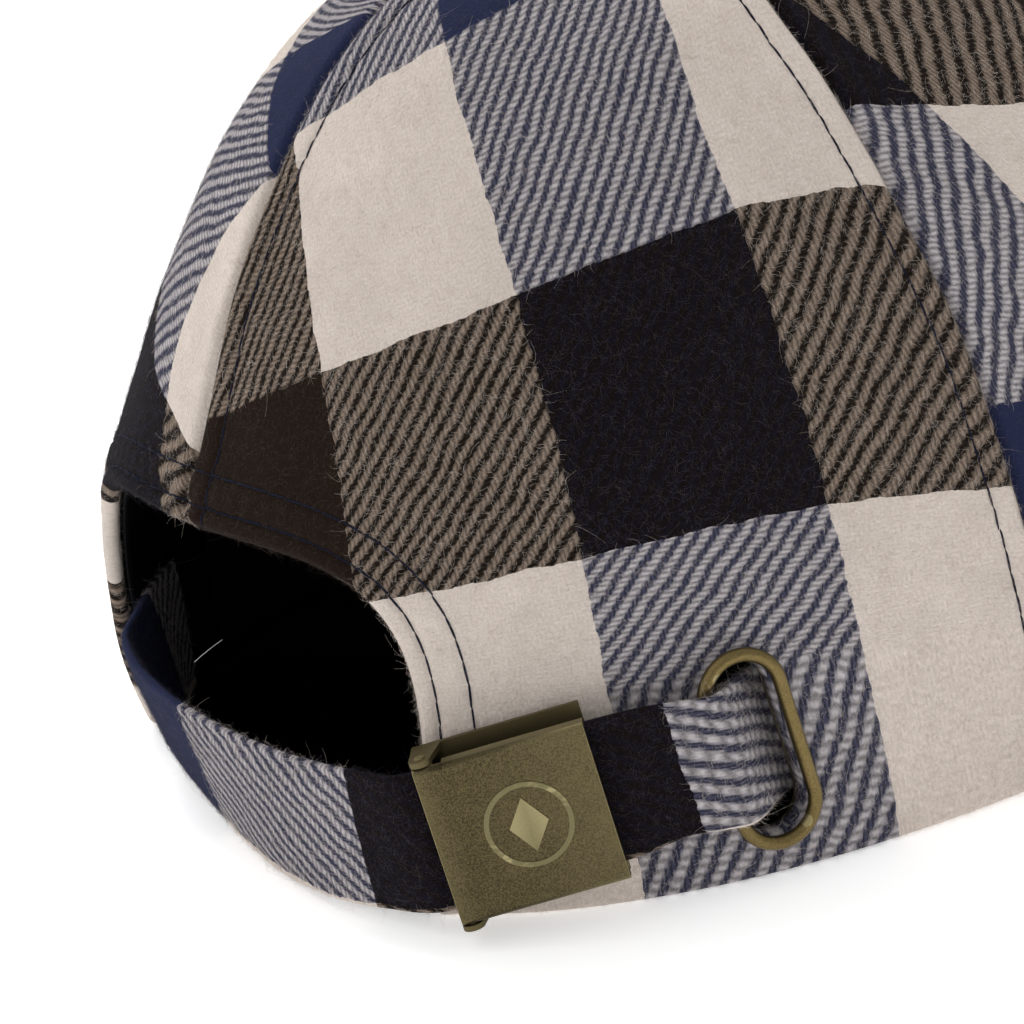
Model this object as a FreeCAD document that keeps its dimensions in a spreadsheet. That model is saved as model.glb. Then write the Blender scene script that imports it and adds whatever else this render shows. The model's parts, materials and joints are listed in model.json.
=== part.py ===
import FreeCAD, Part
import math
import os

from FreeCAD import Placement, Rotation, Vector

# Six-panel wool cap with a rear strap, a flip buckle and an oval slot ring. Millimetres.
# +Z is up, the visor points along -Y, the arched rear opening faces +Y and the wearer's right is -X.
# The origin is the centre of the head opening, in the plane that the sides and back edge rest on.
# The crown is a formula of tau, the angle round the head (0 at the centre back, growing towards
# the wearer's right, 180 at the front), and of the height z. Depth is measured inwards from the
# outer face of the cloth along the surface normal, so a negative depth stands proud of it.

DRIVING_SIZES = {
    # crown
    "crown_half_width": 69.5,
    "crown_back_length": 111.5,
    "crown_front_length": 99.0,
    "side_fullness": 0.09,
    "fullness_start": 78.0,
    "fullness_spread": 50.0,
    "crown_height": 105.7,
    "apex_shift": 22.7,
    "profile_back": 1.15,
    "profile_front": 1.75,
    "profile_round": 2.5,
    "squareness": 0.05,
    "bottom_tuck": 0.061,
    "bottom_tuck_height": 40.6,
    "cinch_depth": 12.2,
    "cinch_height": 38.1,
    "cinch_spread": 30.4,
    "cinch_angle": -13.9,
    "front_lift": 27.0,
    "lift_start": 80.0,
    "apex_hole": 0.05,
    "cloth": 2.0,
    "seam_gap": 0.12,
    "back_seam": 81.2,
    "front_seam": 131.0,
    # arched rear opening
    "arch_half_width": 36.0,
    "arch_height": 42.3,
    "arch_exponent": 4.0,
    "facing_width": 10.0,
    "facing_depth": 2.4,
    "facing_cloth": 0.8,
    "facing_reach": 56.0,
    "facing_foot": 0.6,
    "facing_fit": 0.2,
    # seam tapes and sweatband
    "tape_width": 10.0,
    "tape_depth": 2.25,
    "tape_cloth": 0.5,
    "tape_top": 0.975,
    "tape_start": 2.0,
    "band_height": 28.0,
    "band_lift": 1.2,
    "band_depth": 3.7,
    "band_extra_depth": 4.0,
    "band_cloth": 1.0,
    "band_right_end": 36.0,
    "band_left_end": 308.0,
    "band_bump_start": 45.0,
    "band_bump_end": 84.0,
    "band_bump_slope": 9.5,
    # visor
    "visor_half_angle": 62.0,
    "visor_reach": 70.0,
    "visor_half_width": 88.0,
    "visor_sweep": 84.0,
    "visor_corner": 0.12,
    "visor_edge_lift": 18.9,
    "visor_edge_drop": 15.3,
    "visor_edge_span": 82.0,
    "visor_edge_power": 0.8,
    "visor_inset": 1.5,
    "visor_seam_gap": 0.45,
    "visor_belly": 1.2,
    "visor_tip": -50.0,
    "visor_upper_cloth": 1.2,
    "visor_board_thickness": 1.6,
    "visor_under_cloth": 1.2,
    "visor_layer_gap": 0.15,
    # button
    "button_radius": 7.5,
    "button_height": 5.2,
    "button_cloth": 1.1,
    "button_metal": 0.5,
    "button_gap": 0.35,
    "prong_radius": 1.1,
    "prong_flare": 4.6,
    "prong_drop": 3.4,
    "prong_plate": 0.6,
    "button_slack": 0.06,
    # strap
    "strap_width": 18.4,
    "strap_held_width": 17.2,
    "strap_tail_width": 16.4,
    "strap_cloth": 1.8,
    # flip buckle
    "buckle_angle": 40.2,
    "buckle_lift": 14.3,
    "buckle_tilt": 12.6,
    "cover_length": 20.0,
    "cover_height": 19.4,
    "cover_sheet": 0.7,
    "cover_stand": 7.2,
    "cover_bend": 0.65,
    "flange_depth": 2.0,
    "hinge_strip": 2.3,
    "frame_sheet": 0.7,
    "frame_stand": 1.1,
    "frame_length": 19.6,
    "frame_bar": 1.6,
    "frame_slot": 2.2,
    "ear_radius": 1.3,
    "ear_gap": 0.15,
    "ear_sheet": 0.65,
    "pin_radius": 0.6,
    "pin_clearance": 0.06,
    "barrel_radius": 1.25,
    "tab_width": 13.0,
    "tab_cloth": 0.75,
    "tab_length": 15.0,
    "tab_gap": 0.08,
    "tab_fold": 1.6,
    # slot ring
    "ring_angle": 57.4,
    "ring_lift": 16.7,
    "ring_tilt": 11.8,
    "ring_width": 11.3,
    "ring_height": 25.4,
    "ring_wire": 1.7,
    "ring_stand": 0.25,
    "washer_sheet": 0.6,
    "washer_rim": 2.3,
    "washer_depth": 3.3,
}

# The strap's centre line, from its sewn left end, across the opening, through the buckle and the
# ring. Each station: distance along the crown, height of the strap's middle, depth of its middle
# in the crown, and tilt of its width in degrees. The first distances are from the centre back, the
# last ones from the ring's centre, and those in the buckle are along its own frame.
STRAP_START = [
    (-53.0, 9.8, 5.2, 0.0),
    (-48.0, 9.8, 5.2, 0.0),
    (-43.0, 9.8, 5.2, 0.0),
    (-38.5, 9.8, 5.2, 0.0),
    (-33.5, 9.8, 4.5, 0.0),
    (-27.0, 9.8, 2.2, 0.0),
    (-19.0, 9.8, 1.3, 0.0),
    (-9.0, 9.8, 1.0, 0.0),
    (3.0, 9.8, 0.9, 0.5),
    (14.0, 9.9, 0.6, 2.0),
    (24.0, 10.2, -0.6, 5.5),
    (31.5, 10.9, -2.4, 9.5),
]
STRAP_IN_BUCKLE = (-11.6, -7.5, -3.0, 2.0, 7.0, 11.0)
STRAP_END = [
    (-11.0, 17.2, -3.5, 12.2),
    (-7.6, 17.2, -3.9, 12.0),
    (-5.0, 17.1, -3.9, 11.8),
    (-2.8, 17.0, -2.25, 11.8),
    (-0.6, 16.9, 0.6, 11.8),
    (1.7, 16.8, 3.2, 11.5),
    (4.1, 16.7, 5.3, 11.0),
    (7.1, 16.6, 6.1, 9.0),
    (13.0, 16.5, 6.2, 6.0),
    (20.0, 16.4, 6.2, 4.0),
]

def make_sheet(doc):
    """Writes the driving sizes into a spreadsheet and returns it."""
    sheet = doc.addObject("Spreadsheet::Sheet", "sizes")
    for row, (alias, value) in enumerate(DRIVING_SIZES.items(), start=1):
        sheet.set("A%d" % row, alias)
        sheet.set("B%d" % row, repr(value))
        sheet.setAlias("B%d" % row, alias)
    doc.recompute()
    return sheet


DOC = FreeCAD.newDocument("wool_cap")
SHEET = make_sheet(DOC)


def size(alias):
    """Reads one driving size from the sheet."""
    return float(SHEET.get(alias))


# ---------------------------------------------------------------- crown formula


def smooth_step(x):
    """Rises smoothly from 0 to 1 as x goes from 0 to 1."""
    x = min(max(x, 0.0), 1.0)
    return x * x * (3.0 - 2.0 * x)


def wrap(tau):
    """Brings an angle into the range -180 to 180."""
    return (tau + 180.0) % 360.0 - 180.0


def rim_height(tau):
    """Height of the crown's bottom edge, which lifts towards the visor."""
    start = size("lift_start")
    return size("front_lift") * smooth_step((abs(wrap(tau)) - start) / (180.0 - start))


def crown_profile(tau, z):
    """Share of the plan radius that is left at the height z."""
    frontness = ((1.0 - math.cos(math.radians(tau))) / 2.0) ** 3
    power = size("profile_back") + (size("profile_front") - size("profile_back")) * frontness
    height = min(max(z / size("crown_height"), 0.0), 1.0)
    share = max(1.0 - height**power, 0.0) ** (1.0 / size("profile_round"))
    tuck = max(1.0 - z / size("bottom_tuck_height"), 0.0)
    return share - size("bottom_tuck") * tuck * tuck


def crown_skin(tau, z):
    """A point of the crown's outer face."""
    tau = wrap(tau)
    angle = math.radians(tau)
    share = crown_profile(tau, z)
    square = 1.0 + size("squareness") * math.sin(2.0 * angle) ** 2
    height = min(max(z / size("crown_height"), 0.0), 1.0)
    side = (abs(tau) - size("fullness_start")) / size("fullness_spread")
    fullness = 1.0 + size("side_fullness") * smooth_step(side)
    x = -size("crown_half_width") * share * math.sin(angle) * square * fullness
    y = size("apex_shift") * height**2
    length = size("crown_back_length") if abs(tau) < 90.0 else size("crown_front_length")
    y += length * share * math.cos(angle) * square
    low = max(1.0 - z / size("cinch_height"), 0.0) ** 1.5
    off = (tau - size("cinch_angle")) / size("cinch_spread")
    y -= size("cinch_depth") * low * math.exp(-off * off)
    return Vector(x, y, z)


def crown_axes(tau, z):
    """Unit vectors along the rim, up the crown and out of it, at a point of the outer face."""
    step = 0.05
    top = min(z + step, size("crown_height") * 0.9999)
    along = crown_skin(tau + step, z) - crown_skin(tau - step, z)
    up = crown_skin(tau, top) - crown_skin(tau, max(z - step, 0.0))
    along.normalize()
    up = up - along * up.dot(along)
    up.normalize()
    out = along.cross(up)
    return along, up, out


def crown_point(tau, z, depth):
    """A point at a depth inside the outer face, level with the skin point at low heights."""
    out = crown_axes(tau, z)[2]
    return crown_skin(tau, z) - out * depth


def rise_angle(tau, z):
    """The angle up the profile, 0 at the bottom and 90 at the apex, of the height z."""
    frontness = ((1.0 - math.cos(math.radians(tau))) / 2.0) ** 3
    power = size("profile_back") + (size("profile_front") - size("profile_back")) * frontness
    height = min(max(z / size("crown_height"), 0.0), 1.0)
    return math.degrees(math.asin(height ** (power / 2.0))), power


def height_between(tau, low, high, part):
    """The height at a share of the way up the profile, so that steps are even over the dome."""
    first, power = rise_angle(tau, low)
    last = rise_angle(tau, high)[0]
    angle = math.radians(first + (last - first) * part)
    return size("crown_height") * math.sin(angle) ** (2.0 / power)


def apex_height(tau):
    """The height where a panel stops short of the apex, round the button's hole."""
    share = size("apex_hole") ** size("profile_round")
    power = rise_angle(tau, 1.0)[1]
    return size("crown_height") * (1.0 - share) ** (1.0 / power)


def rim_table():
    """Distances along the crown from the centre back at strap height, against tau."""
    level = size("buckle_lift")
    table = [(0.0, 0.0)]
    last = crown_skin(0.0, level)
    for step in range(1, 361):
        tau = step * 0.5
        here = crown_skin(tau, level)
        table.append((table[-1][0] + (here - last).Length, tau))
        last = here
    return table


RIM = rim_table()


def tau_at(distance):
    """The angle tau at a distance along the crown from the centre back, towards the wearer's right."""
    reach = abs(distance)
    for (near, low), (far, high) in zip(RIM, RIM[1:]):
        if reach <= far:
            tau = low + (high - low) * (reach - near) / (far - near)
            return math.copysign(tau, distance)
    return math.copysign(180.0, distance)


def distance_of(angle):
    """The distance along the crown from the centre back of an angle tau, from 0 to 180."""
    for (near, low), (far, high) in zip(RIM, RIM[1:]):
        if angle <= high:
            return near + (far - near) * (angle - low) / (high - low)
    return RIM[-1][0]


# ---------------------------------------------------------------- soft skins


def spline_face(rows):
    """A smooth face through a grid of points."""
    surface = Part.BSplineSurface()
    surface.interpolate(rows)
    return surface


def skin_between(outer_rows, inner_rows):
    """A closed solid between two grids of points, with ruled walls round its edge."""
    outer = spline_face(outer_rows)
    inner = spline_face(inner_rows)
    faces = [outer.toShape(), inner.toShape()]
    for surface_ends in ("u", "v"):
        for last in (False, True):
            edges = []
            for surface in (outer, inner):
                u0, u1, v0, v1 = surface.bounds()
                if surface_ends == "u":
                    edges.append(surface.uIso(u1 if last else u0).toShape())
                else:
                    edges.append(surface.vIso(v1 if last else v0).toShape())
            faces.append(Part.makeRuledSurface(edges[0], edges[1]))
    shell = Part.makeShell(faces)
    shell.sewShape()
    solid = Part.makeSolid(Part.Shell(shell.Faces))
    if solid.Volume < 0:
        solid.reverse()
    return solid


def crown_piece(tau_ends, heights, depths, columns, rows):
    """A piece that follows the crown.

    tau_ends and heights are functions of the share of the way up and of tau, and depths is a
    function of tau that gives the outer and the inner depth.
    """
    grids = ([], [])
    for column in range(columns):
        across = column / (columns - 1.0)
        lines = ([], [])
        for row in range(rows):
            part = row / (rows - 1.0)
            first, last = tau_ends(part)
            tau = first + (last - first) * across
            low, high = heights(tau)
            z = height_between(tau, low, high, part)
            for line, depth in zip(lines, depths(tau)):
                line.append(crown_point(tau, z, depth))
        for grid, line in zip(grids, lines):
            grid.append(line)
    return skin_between(*grids)


def add_shape(name, shape):
    """Adds a Part::Feature with its own label."""
    feature = DOC.addObject("Part::Feature", name)
    feature.Label = name
    feature.Shape = shape
    return feature


def degrees_for(tau, z, distance):
    """The change of tau that spans a distance along the crown."""
    reach = (crown_skin(tau + 0.5, z) - crown_skin(tau - 0.5, z)).Length
    return distance / max(reach, 0.05)


def make_panel(name, first, last):
    """One of the six crown gores, between two seams."""
    gap = size("seam_gap")

    def tau_ends(part):
        level = height_between(first, rim_height(first), apex_height(first), part)
        return (
            first + degrees_for(first, level, gap),
            last - degrees_for(last, level, gap),
        )

    return add_shape(
        name,
        crown_piece(
            tau_ends,
            lambda tau: (rim_height(tau), apex_height(tau)),
            lambda tau: (0.0, size("cloth")),
            columns=13,
            rows=17,
        ),
    )


def arch_outline(grow):
    """The opening's outline on the XZ plane: a superellipse closed along the bottom."""
    half = size("arch_half_width") + grow
    top = size("arch_height") + grow
    power = 2.0 / size("arch_exponent")
    points = []
    steps = 48
    for step in range(steps + 1):
        angle = math.pi * step / steps
        across = math.copysign(abs(math.cos(angle)) ** power, math.cos(angle))
        points.append(Vector(half * across, 0.0, top * math.sin(angle) ** power))
    curve = Part.BSplineCurve()
    curve.interpolate(points)
    below = -10.0
    corners = [points[-1], Vector(-half, 0, below), Vector(half, 0, below), points[0]]
    edges = [curve.toShape()]
    for start, end in zip(corners, corners[1:]):
        edges.append(Part.makeLine(start, end))
    return Part.Wire(edges)


def make_arch_tool(name, grow):
    """A prism through the back of the crown with the opening's outline."""
    front = 40.0
    reach = 100.0
    wire = arch_outline(grow)
    wire.translate(Vector(0, front, 0))
    return add_shape(name, Part.Face(wire).extrude(Vector(0, reach, 0)))


def make_cut(name, base, tool):
    """A Part::Cut with its own label."""
    cut = DOC.addObject("Part::Cut", name)
    cut.Label = name
    cut.Base = base
    cut.Tool = tool
    return cut


def make_facing():
    """The tape that is turned and sewn round the inside of the arched opening."""
    reach = size("facing_reach")
    outer = size("facing_depth")
    top = size("arch_height") + size("facing_width") + 6.0
    layer = add_shape(
        "facing_layer",
        crown_piece(
            lambda part: (-reach, reach),
            lambda tau: (size("facing_foot"), top),
            lambda tau: (outer, outer + size("facing_cloth")),
            columns=29,
            rows=13,
        ),
    )
    band = DOC.addObject("Part::Common", "facing_band")
    band.Base = layer
    band.Tool = make_arch_tool("facing_outline", size("facing_width"))
    return make_cut("arch_facing", band, make_arch_tool("facing_opening", size("facing_fit")))


def make_tape(name, seam, start):
    """A seam tape inside one crown seam, stopping short of the apex."""
    half = size("tape_width") / 2.0
    outer = size("tape_depth")
    top = size("tape_top") * size("crown_height")

    def tau_ends(part):
        level = height_between(seam, start, top, part)
        spread = degrees_for(seam, level, half)
        return seam - spread, seam + spread

    return add_shape(
        name,
        crown_piece(
            tau_ends,
            lambda tau: (start, top),
            lambda tau: (outer, outer + size("tape_cloth")),
            columns=5,
            rows=13,
        ),
    )


def band_depth(tau):
    """Depth of the sweatband's outer face: deeper where the strap's tail lies behind it."""
    slope = size("band_bump_slope")
    rise = smooth_step((tau - size("band_bump_start")) / slope)
    fall = smooth_step((size("band_bump_end") - tau) / slope)
    return size("band_depth") + size("band_extra_depth") * rise * fall


def make_sweatband():
    """The band sewn round the inside of the bottom edge, from one leg of the arch to the other."""
    thickness = size("band_cloth")
    return add_shape(
        "sweatband",
        crown_piece(
            lambda part: (size("band_right_end"), size("band_left_end")),
            lambda tau: (
                rim_height(tau) + size("band_lift"),
                rim_height(tau) + size("band_height"),
            ),
            lambda tau: (band_depth(tau), band_depth(tau) + thickness),
            columns=71,
            rows=5,
        ),
    )


# ---------------------------------------------------------------- visor


def visor_skin(across, out):
    """A point of the visor's upper face; across runs -1 to 1 and out runs 0 at the crown to 1."""
    tau = wrap(180.0 + across * size("visor_half_angle"))
    near = crown_point(tau, rim_height(tau), size("visor_inset"))
    near.z = rim_height(tau) - size("visor_seam_gap")
    turn = math.radians(size("visor_sweep") * across)
    narrow = 1.0 - size("visor_corner") * abs(across) ** 6
    x = size("visor_half_width") * math.sin(turn) * narrow
    tip_y = size("visor_tip")
    centre_y = -size("crown_front_length") - size("visor_reach")
    y = tip_y + (centre_y - tip_y) * math.cos(turn) ** size("visor_edge_power")
    z = size("visor_edge_lift") - size("visor_edge_drop") * (x / size("visor_edge_span")) ** 2
    far = Vector(x, y, z)
    belly = size("visor_belly") * math.sin(math.pi * out) ** 2 * (1.0 - across * across)
    point = near + (far - near) * out
    point.z += belly
    return point


def visor_point(across, out, depth):
    """A point at a depth below the visor's upper face."""
    step = 0.01
    left = max(across - step, -1.0)
    right = min(across + step, 1.0)
    along = visor_skin(right, out) - visor_skin(left, out)
    outward = visor_skin(across, min(out + step, 1.0)) - visor_skin(across, max(out - step, 0.0))
    normal = along.cross(outward)
    normal.normalize()
    if normal.z < 0:
        normal = normal * -1.0
    return visor_skin(across, out) - normal * depth


def make_visor_layer(name, top, thickness, inset):
    """One layer of the visor, from a depth below its upper face."""
    columns = 25
    rows = 9
    grids = ([], [])
    for column in range(columns):
        across = (2.0 * column / (columns - 1.0) - 1.0) * (1.0 - inset)
        lines = ([], [])
        for row in range(rows):
            out = inset + (1.0 - 2.0 * inset) * row / (rows - 1.0)
            lines[0].append(visor_point(across, out, top))
            lines[1].append(visor_point(across, out, top + thickness))
        for grid, line in zip(grids, lines):
            grid.append(line)
    return add_shape(name, skin_between(*grids))


def make_visor():
    """The stiff board between its upper and under cloths."""
    gap = size("visor_layer_gap")
    upper = size("visor_upper_cloth")
    board = size("visor_board_thickness")
    under = size("visor_under_cloth")
    return [
        make_visor_layer("visor_upper", 0.0, upper, 0.0),
        make_visor_layer("visor_board", upper + gap, board, 0.02),
        make_visor_layer("visor_under", upper + board + 2 * gap, under, 0.0),
    ]


# ---------------------------------------------------------------- PartDesign helpers


def new_body(name):
    """A PartDesign body whose label is the node's name."""
    body = DOC.addObject("PartDesign::Body", name)
    body.Label = name
    return body


def origin_plane(body, role):
    """One of the body's own origin planes."""
    for feature in body.Origin.OriginFeatures:
        if feature.Role == role:
            return feature
    raise ValueError("no origin plane " + role)


def new_sketch(body, name, role, offset=None):
    """A sketch on one of the body's origin planes; offset is an expression for its distance."""
    sketch = body.newObject("Sketcher::SketchObject", name)
    sketch.AttachmentSupport = [(origin_plane(body, role), "")]
    sketch.MapMode = "FlatFace"
    if offset:
        sketch.setExpression("AttachmentOffset.Base.z", offset)
    return sketch


def draw_box(sketch, left, low, right, high):
    """Four lines round a rectangle."""
    corners = [Vector(left, low, 0), Vector(right, low, 0), Vector(right, high, 0), Vector(left, high, 0)]
    for start, end in zip(corners, corners[1:] + corners[:1]):
        sketch.addGeometry(Part.LineSegment(start, end), False)


def draw_circle(sketch, x, y, radius):
    """A circle."""
    sketch.addGeometry(Part.Circle(Vector(x, y, 0), Vector(0, 0, 1), radius), False)


def draw_stadium(sketch, half_width, half_height):
    """Two straight sides joined by half circles at the top and the bottom."""
    straight = half_height - half_width
    up = Vector(0, 0, 1)
    top = Part.Circle(Vector(0, straight, 0), up, half_width)
    bottom = Part.Circle(Vector(0, -straight, 0), up, half_width)
    sketch.addGeometry(Part.ArcOfCircle(top, 0.0, math.pi), False)
    sketch.addGeometry(Part.ArcOfCircle(bottom, math.pi, 2 * math.pi), False)
    for side in (-half_width, half_width):
        ends = (Vector(side, -straight, 0), Vector(side, straight, 0))
        sketch.addGeometry(Part.LineSegment(*ends), False)


def add_pad(body, sketch, name, length, midplane=False, reverse=False):
    """A pad whose length is an expression."""
    pad = body.newObject("PartDesign::Pad", name)
    pad.Profile = sketch
    pad.setExpression("Length", length)
    pad.Midplane = midplane
    pad.Reversed = reverse
    return pad


def add_mirror(body, feature, name, role):
    """A mirror image of a feature across one of the origin planes."""
    mirror = body.newObject("PartDesign::Mirrored", name)
    mirror.Originals = [feature]
    mirror.MirrorPlane = (origin_plane(body, role), [""])
    body.Tip = mirror
    return mirror


def crown_placement(tau, z, tilt):
    """A frame on the crown's outer face: x along the strap, y into the cap and z up the crown."""
    along, up, out = crown_axes(tau, z)
    turn = math.radians(tilt)
    x = along * math.cos(turn) + up * math.sin(turn)
    zed = up * math.cos(turn) - along * math.sin(turn)
    y = out * -1.0
    base = crown_skin(tau, z)
    matrix = FreeCAD.Matrix(
        x.x, y.x, zed.x, base.x, x.y, y.y, zed.y, base.y, x.z, y.z, zed.z, base.z, 0, 0, 0, 1
    )
    return Placement(matrix)


def buckle_placement():
    """The flip buckle's own frame."""
    return crown_placement(size("buckle_angle"), size("buckle_lift"), size("buckle_tilt"))


def ring_placement():
    """The slot ring's own frame."""
    return crown_placement(size("ring_angle"), size("ring_lift"), size("ring_tilt"))


# ---------------------------------------------------------------- flip buckle


def pin_place():
    """The hinge pin's place in the buckle's frame."""
    x = -size("cover_length") / 2.0 + size("barrel_radius")
    y = -size("cover_stand") + size("barrel_radius")
    return x, y


def make_buckle_frame():
    """The base plate with a slot and bar for its tab, and two ears for the hinge pin."""
    body = new_body("buckle_frame")
    half_length = size("frame_length") / 2.0
    ear_inside = size("cover_height") / 2.0 + size("ear_gap")
    half_height = ear_inside + size("ear_sheet")
    plate_sketch = new_sketch(body, "frame_outline", "XZ_Plane", "sizes.frame_stand")
    draw_box(plate_sketch, -half_length, -half_height, half_length, half_height)
    slot_half = size("tab_width") / 2.0 + 0.6
    slot_left = -half_length + size("frame_bar")
    draw_box(plate_sketch, slot_left, -slot_half, slot_left + size("frame_slot"), slot_half)
    add_pad(body, plate_sketch, "frame_plate", "sizes.frame_sheet")
    pin_x, pin_y = pin_place()
    ear_sketch = new_sketch(body, "ear_outline", "XY_Plane", "sizes.cover_height / 2 + sizes.ear_gap")
    draw_ear(ear_sketch, pin_x, pin_y)
    ear = add_pad(body, ear_sketch, "frame_ear", "sizes.ear_sheet")
    add_mirror(body, ear, "frame_ears", "XY_Plane")
    body.Placement = buckle_placement()
    return body


def draw_ear(sketch, pin_x, pin_y):
    """An ear: straight sides up from the plate, a round end and the pin's hole."""
    radius = size("ear_radius")
    foot = -size("frame_stand") - 0.1
    centre = Vector(pin_x, pin_y, 0)
    circle = Part.Circle(centre, Vector(0, 0, 1), radius)
    sketch.addGeometry(Part.ArcOfCircle(circle, math.pi, 2 * math.pi), False)
    left_top = Vector(pin_x - radius, pin_y, 0)
    right_top = Vector(pin_x + radius, pin_y, 0)
    left_foot = Vector(pin_x - radius + 0.2, foot, 0)
    right_foot = Vector(pin_x + radius + 1.2, foot, 0)
    for start, end in ((left_top, left_foot), (left_foot, right_foot), (right_foot, right_top)):
        sketch.addGeometry(Part.LineSegment(start, end), False)
    draw_circle(sketch, pin_x, pin_y, size("pin_radius"))


def make_buckle_cover():
    """The flip cover: a plate with folded flanges and a rolled barrel round the pin."""
    body = new_body("buckle_cover")
    half_height = size("cover_height") / 2.0
    pin_x, pin_y = pin_place()
    hinge_strip = size("hinge_strip")
    strip_sketch = new_sketch(body, "strip_outline", "XZ_Plane", "sizes.cover_stand - sizes.cover_sheet")
    draw_box(strip_sketch, pin_x, -half_height, pin_x + hinge_strip, half_height)
    add_pad(body, strip_sketch, "cover_strip", "sizes.cover_sheet")
    barrel_sketch = new_sketch(body, "barrel_outline", "XY_Plane")
    draw_circle(barrel_sketch, pin_x, pin_y, size("barrel_radius"))
    add_pad(body, barrel_sketch, "cover_barrel", "sizes.cover_height", midplane=True)
    channel_sketch = new_sketch(body, "channel_outline", "YZ_Plane", "sizes.cover_length / 2")
    draw_channel(channel_sketch, -size("cover_stand"), half_height)
    length = "sizes.cover_length - sizes.barrel_radius - sizes.hinge_strip + 0.1"
    channel = add_pad(body, channel_sketch, "cover_channel", length, reverse=True)
    bore_sketch = new_sketch(body, "barrel_bore", "XY_Plane", "-sizes.cover_height")
    draw_circle(bore_sketch, pin_x, pin_y, size("pin_radius") + size("pin_clearance"))
    bore = body.newObject("PartDesign::Pocket", "cover_bore")
    bore.Profile = bore_sketch
    bore.Reversed = True
    bore.setExpression("Length", "2 * sizes.cover_height")
    DOC.recompute()
    if bore.Shape.Volume >= channel.Shape.Volume:
        raise RuntimeError("the barrel's bore removes nothing")
    body.Placement = buckle_placement()
    return body


def draw_channel(sketch, outer, half_height):
    """The cover's section across the strap: a flat web, two round bends and two flanges."""
    sheet = size("cover_sheet")
    bend = size("cover_bend")
    tip = outer + size("flange_depth")
    web = outer + sheet
    inside = half_height - sheet
    lines = [
        (Vector(outer, -half_height + bend, 0), Vector(outer, half_height - bend, 0)),
        (Vector(outer + bend, half_height, 0), Vector(tip, half_height, 0)),
        (Vector(tip, half_height, 0), Vector(tip, inside, 0)),
        (Vector(tip, inside, 0), Vector(web, inside, 0)),
        (Vector(web, inside, 0), Vector(web, -inside, 0)),
        (Vector(web, -inside, 0), Vector(tip, -inside, 0)),
        (Vector(tip, -inside, 0), Vector(tip, -half_height, 0)),
        (Vector(tip, -half_height, 0), Vector(outer + bend, -half_height, 0)),
    ]
    for start, end in lines:
        sketch.addGeometry(Part.LineSegment(start, end), False)
    up = Vector(0, 0, 1)
    top = Part.Circle(Vector(outer + bend, half_height - bend, 0), up, bend)
    low = Part.Circle(Vector(outer + bend, -half_height + bend, 0), up, bend)
    sketch.addGeometry(Part.ArcOfCircle(top, math.pi / 2, math.pi), False)
    sketch.addGeometry(Part.ArcOfCircle(low, math.pi, 3 * math.pi / 2), False)


def make_buckle_pin():
    """The hinge pin, held fast in the ears."""
    pin = DOC.addObject("Part::Cylinder", "buckle_pin")
    pin.Label = "buckle_pin"
    pin.setExpression("Radius", "sizes.pin_radius")
    pin.setExpression("Height", "sizes.cover_height + 2 * sizes.ear_gap + 2 * sizes.ear_sheet + 0.5")
    length = size("cover_height") + 2 * size("ear_gap") + 2 * size("ear_sheet") + 0.5
    pin_x, pin_y = pin_place()
    local = Placement(Vector(pin_x, pin_y, -length / 2.0), Rotation())
    pin.Placement = buckle_placement().multiply(local)
    return pin


def make_buckle_tab():
    """The cloth tab that holds the frame: a tail under the plate and a loop round its bar."""
    body = new_body("buckle_tab")
    sketch = new_sketch(body, "tab_outline", "XY_Plane")
    cloth = size("tab_cloth")
    stand = size("frame_stand")
    plate = size("frame_sheet")
    gap = size("tab_gap")
    inner = (plate + 2 * gap) / 2.0
    outer = inner + cloth
    middle = -(stand + plate / 2.0)
    left = -size("frame_length") / 2.0 + 0.2
    right = left + size("tab_fold")
    tail_end = left + size("tab_length")
    near = middle + inner
    centre = Vector(left, middle, 0)
    up = Vector(0, 0, 1)
    for radius in (inner, outer):
        arc = Part.ArcOfCircle(Part.Circle(centre, up, radius), math.pi / 2, 3 * math.pi / 2)
        sketch.addGeometry(arc, False)
    lines = [
        (Vector(left, middle - outer, 0), Vector(right, middle - outer, 0)),
        (Vector(right, middle - outer, 0), Vector(right, middle - inner, 0)),
        (Vector(right, middle - inner, 0), Vector(left, middle - inner, 0)),
        (Vector(left, near, 0), Vector(tail_end, near, 0)),
        (Vector(tail_end, near, 0), Vector(tail_end, near + cloth, 0)),
        (Vector(tail_end, near + cloth, 0), Vector(left, near + cloth, 0)),
    ]
    for start, end in lines:
        sketch.addGeometry(Part.LineSegment(start, end), False)
    add_pad(body, sketch, "tab_cloth_pad", "sizes.tab_width", midplane=True)
    body.Placement = buckle_placement()
    return body


# ---------------------------------------------------------------- slot ring


def make_slot_ring():
    """The oval wire ring on the outside of the crown."""
    body = new_body("slot_ring")
    wire = size("ring_wire") / 2.0
    half_width = size("ring_width") / 2.0 - wire
    half_height = size("ring_height") / 2.0 - wire
    path = new_sketch(body, "ring_path", "XZ_Plane", "sizes.ring_stand + sizes.ring_wire / 2")
    draw_stadium(path, half_width, half_height)
    section = new_sketch(body, "ring_section", "XY_Plane")
    draw_circle(section, half_width, -size("ring_stand") - wire, wire)
    pipe = body.newObject("PartDesign::AdditivePipe", "ring_wire_pipe")
    pipe.Profile = section
    pipe.Spine = (path, [])
    body.Placement = ring_placement()
    return body


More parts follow.
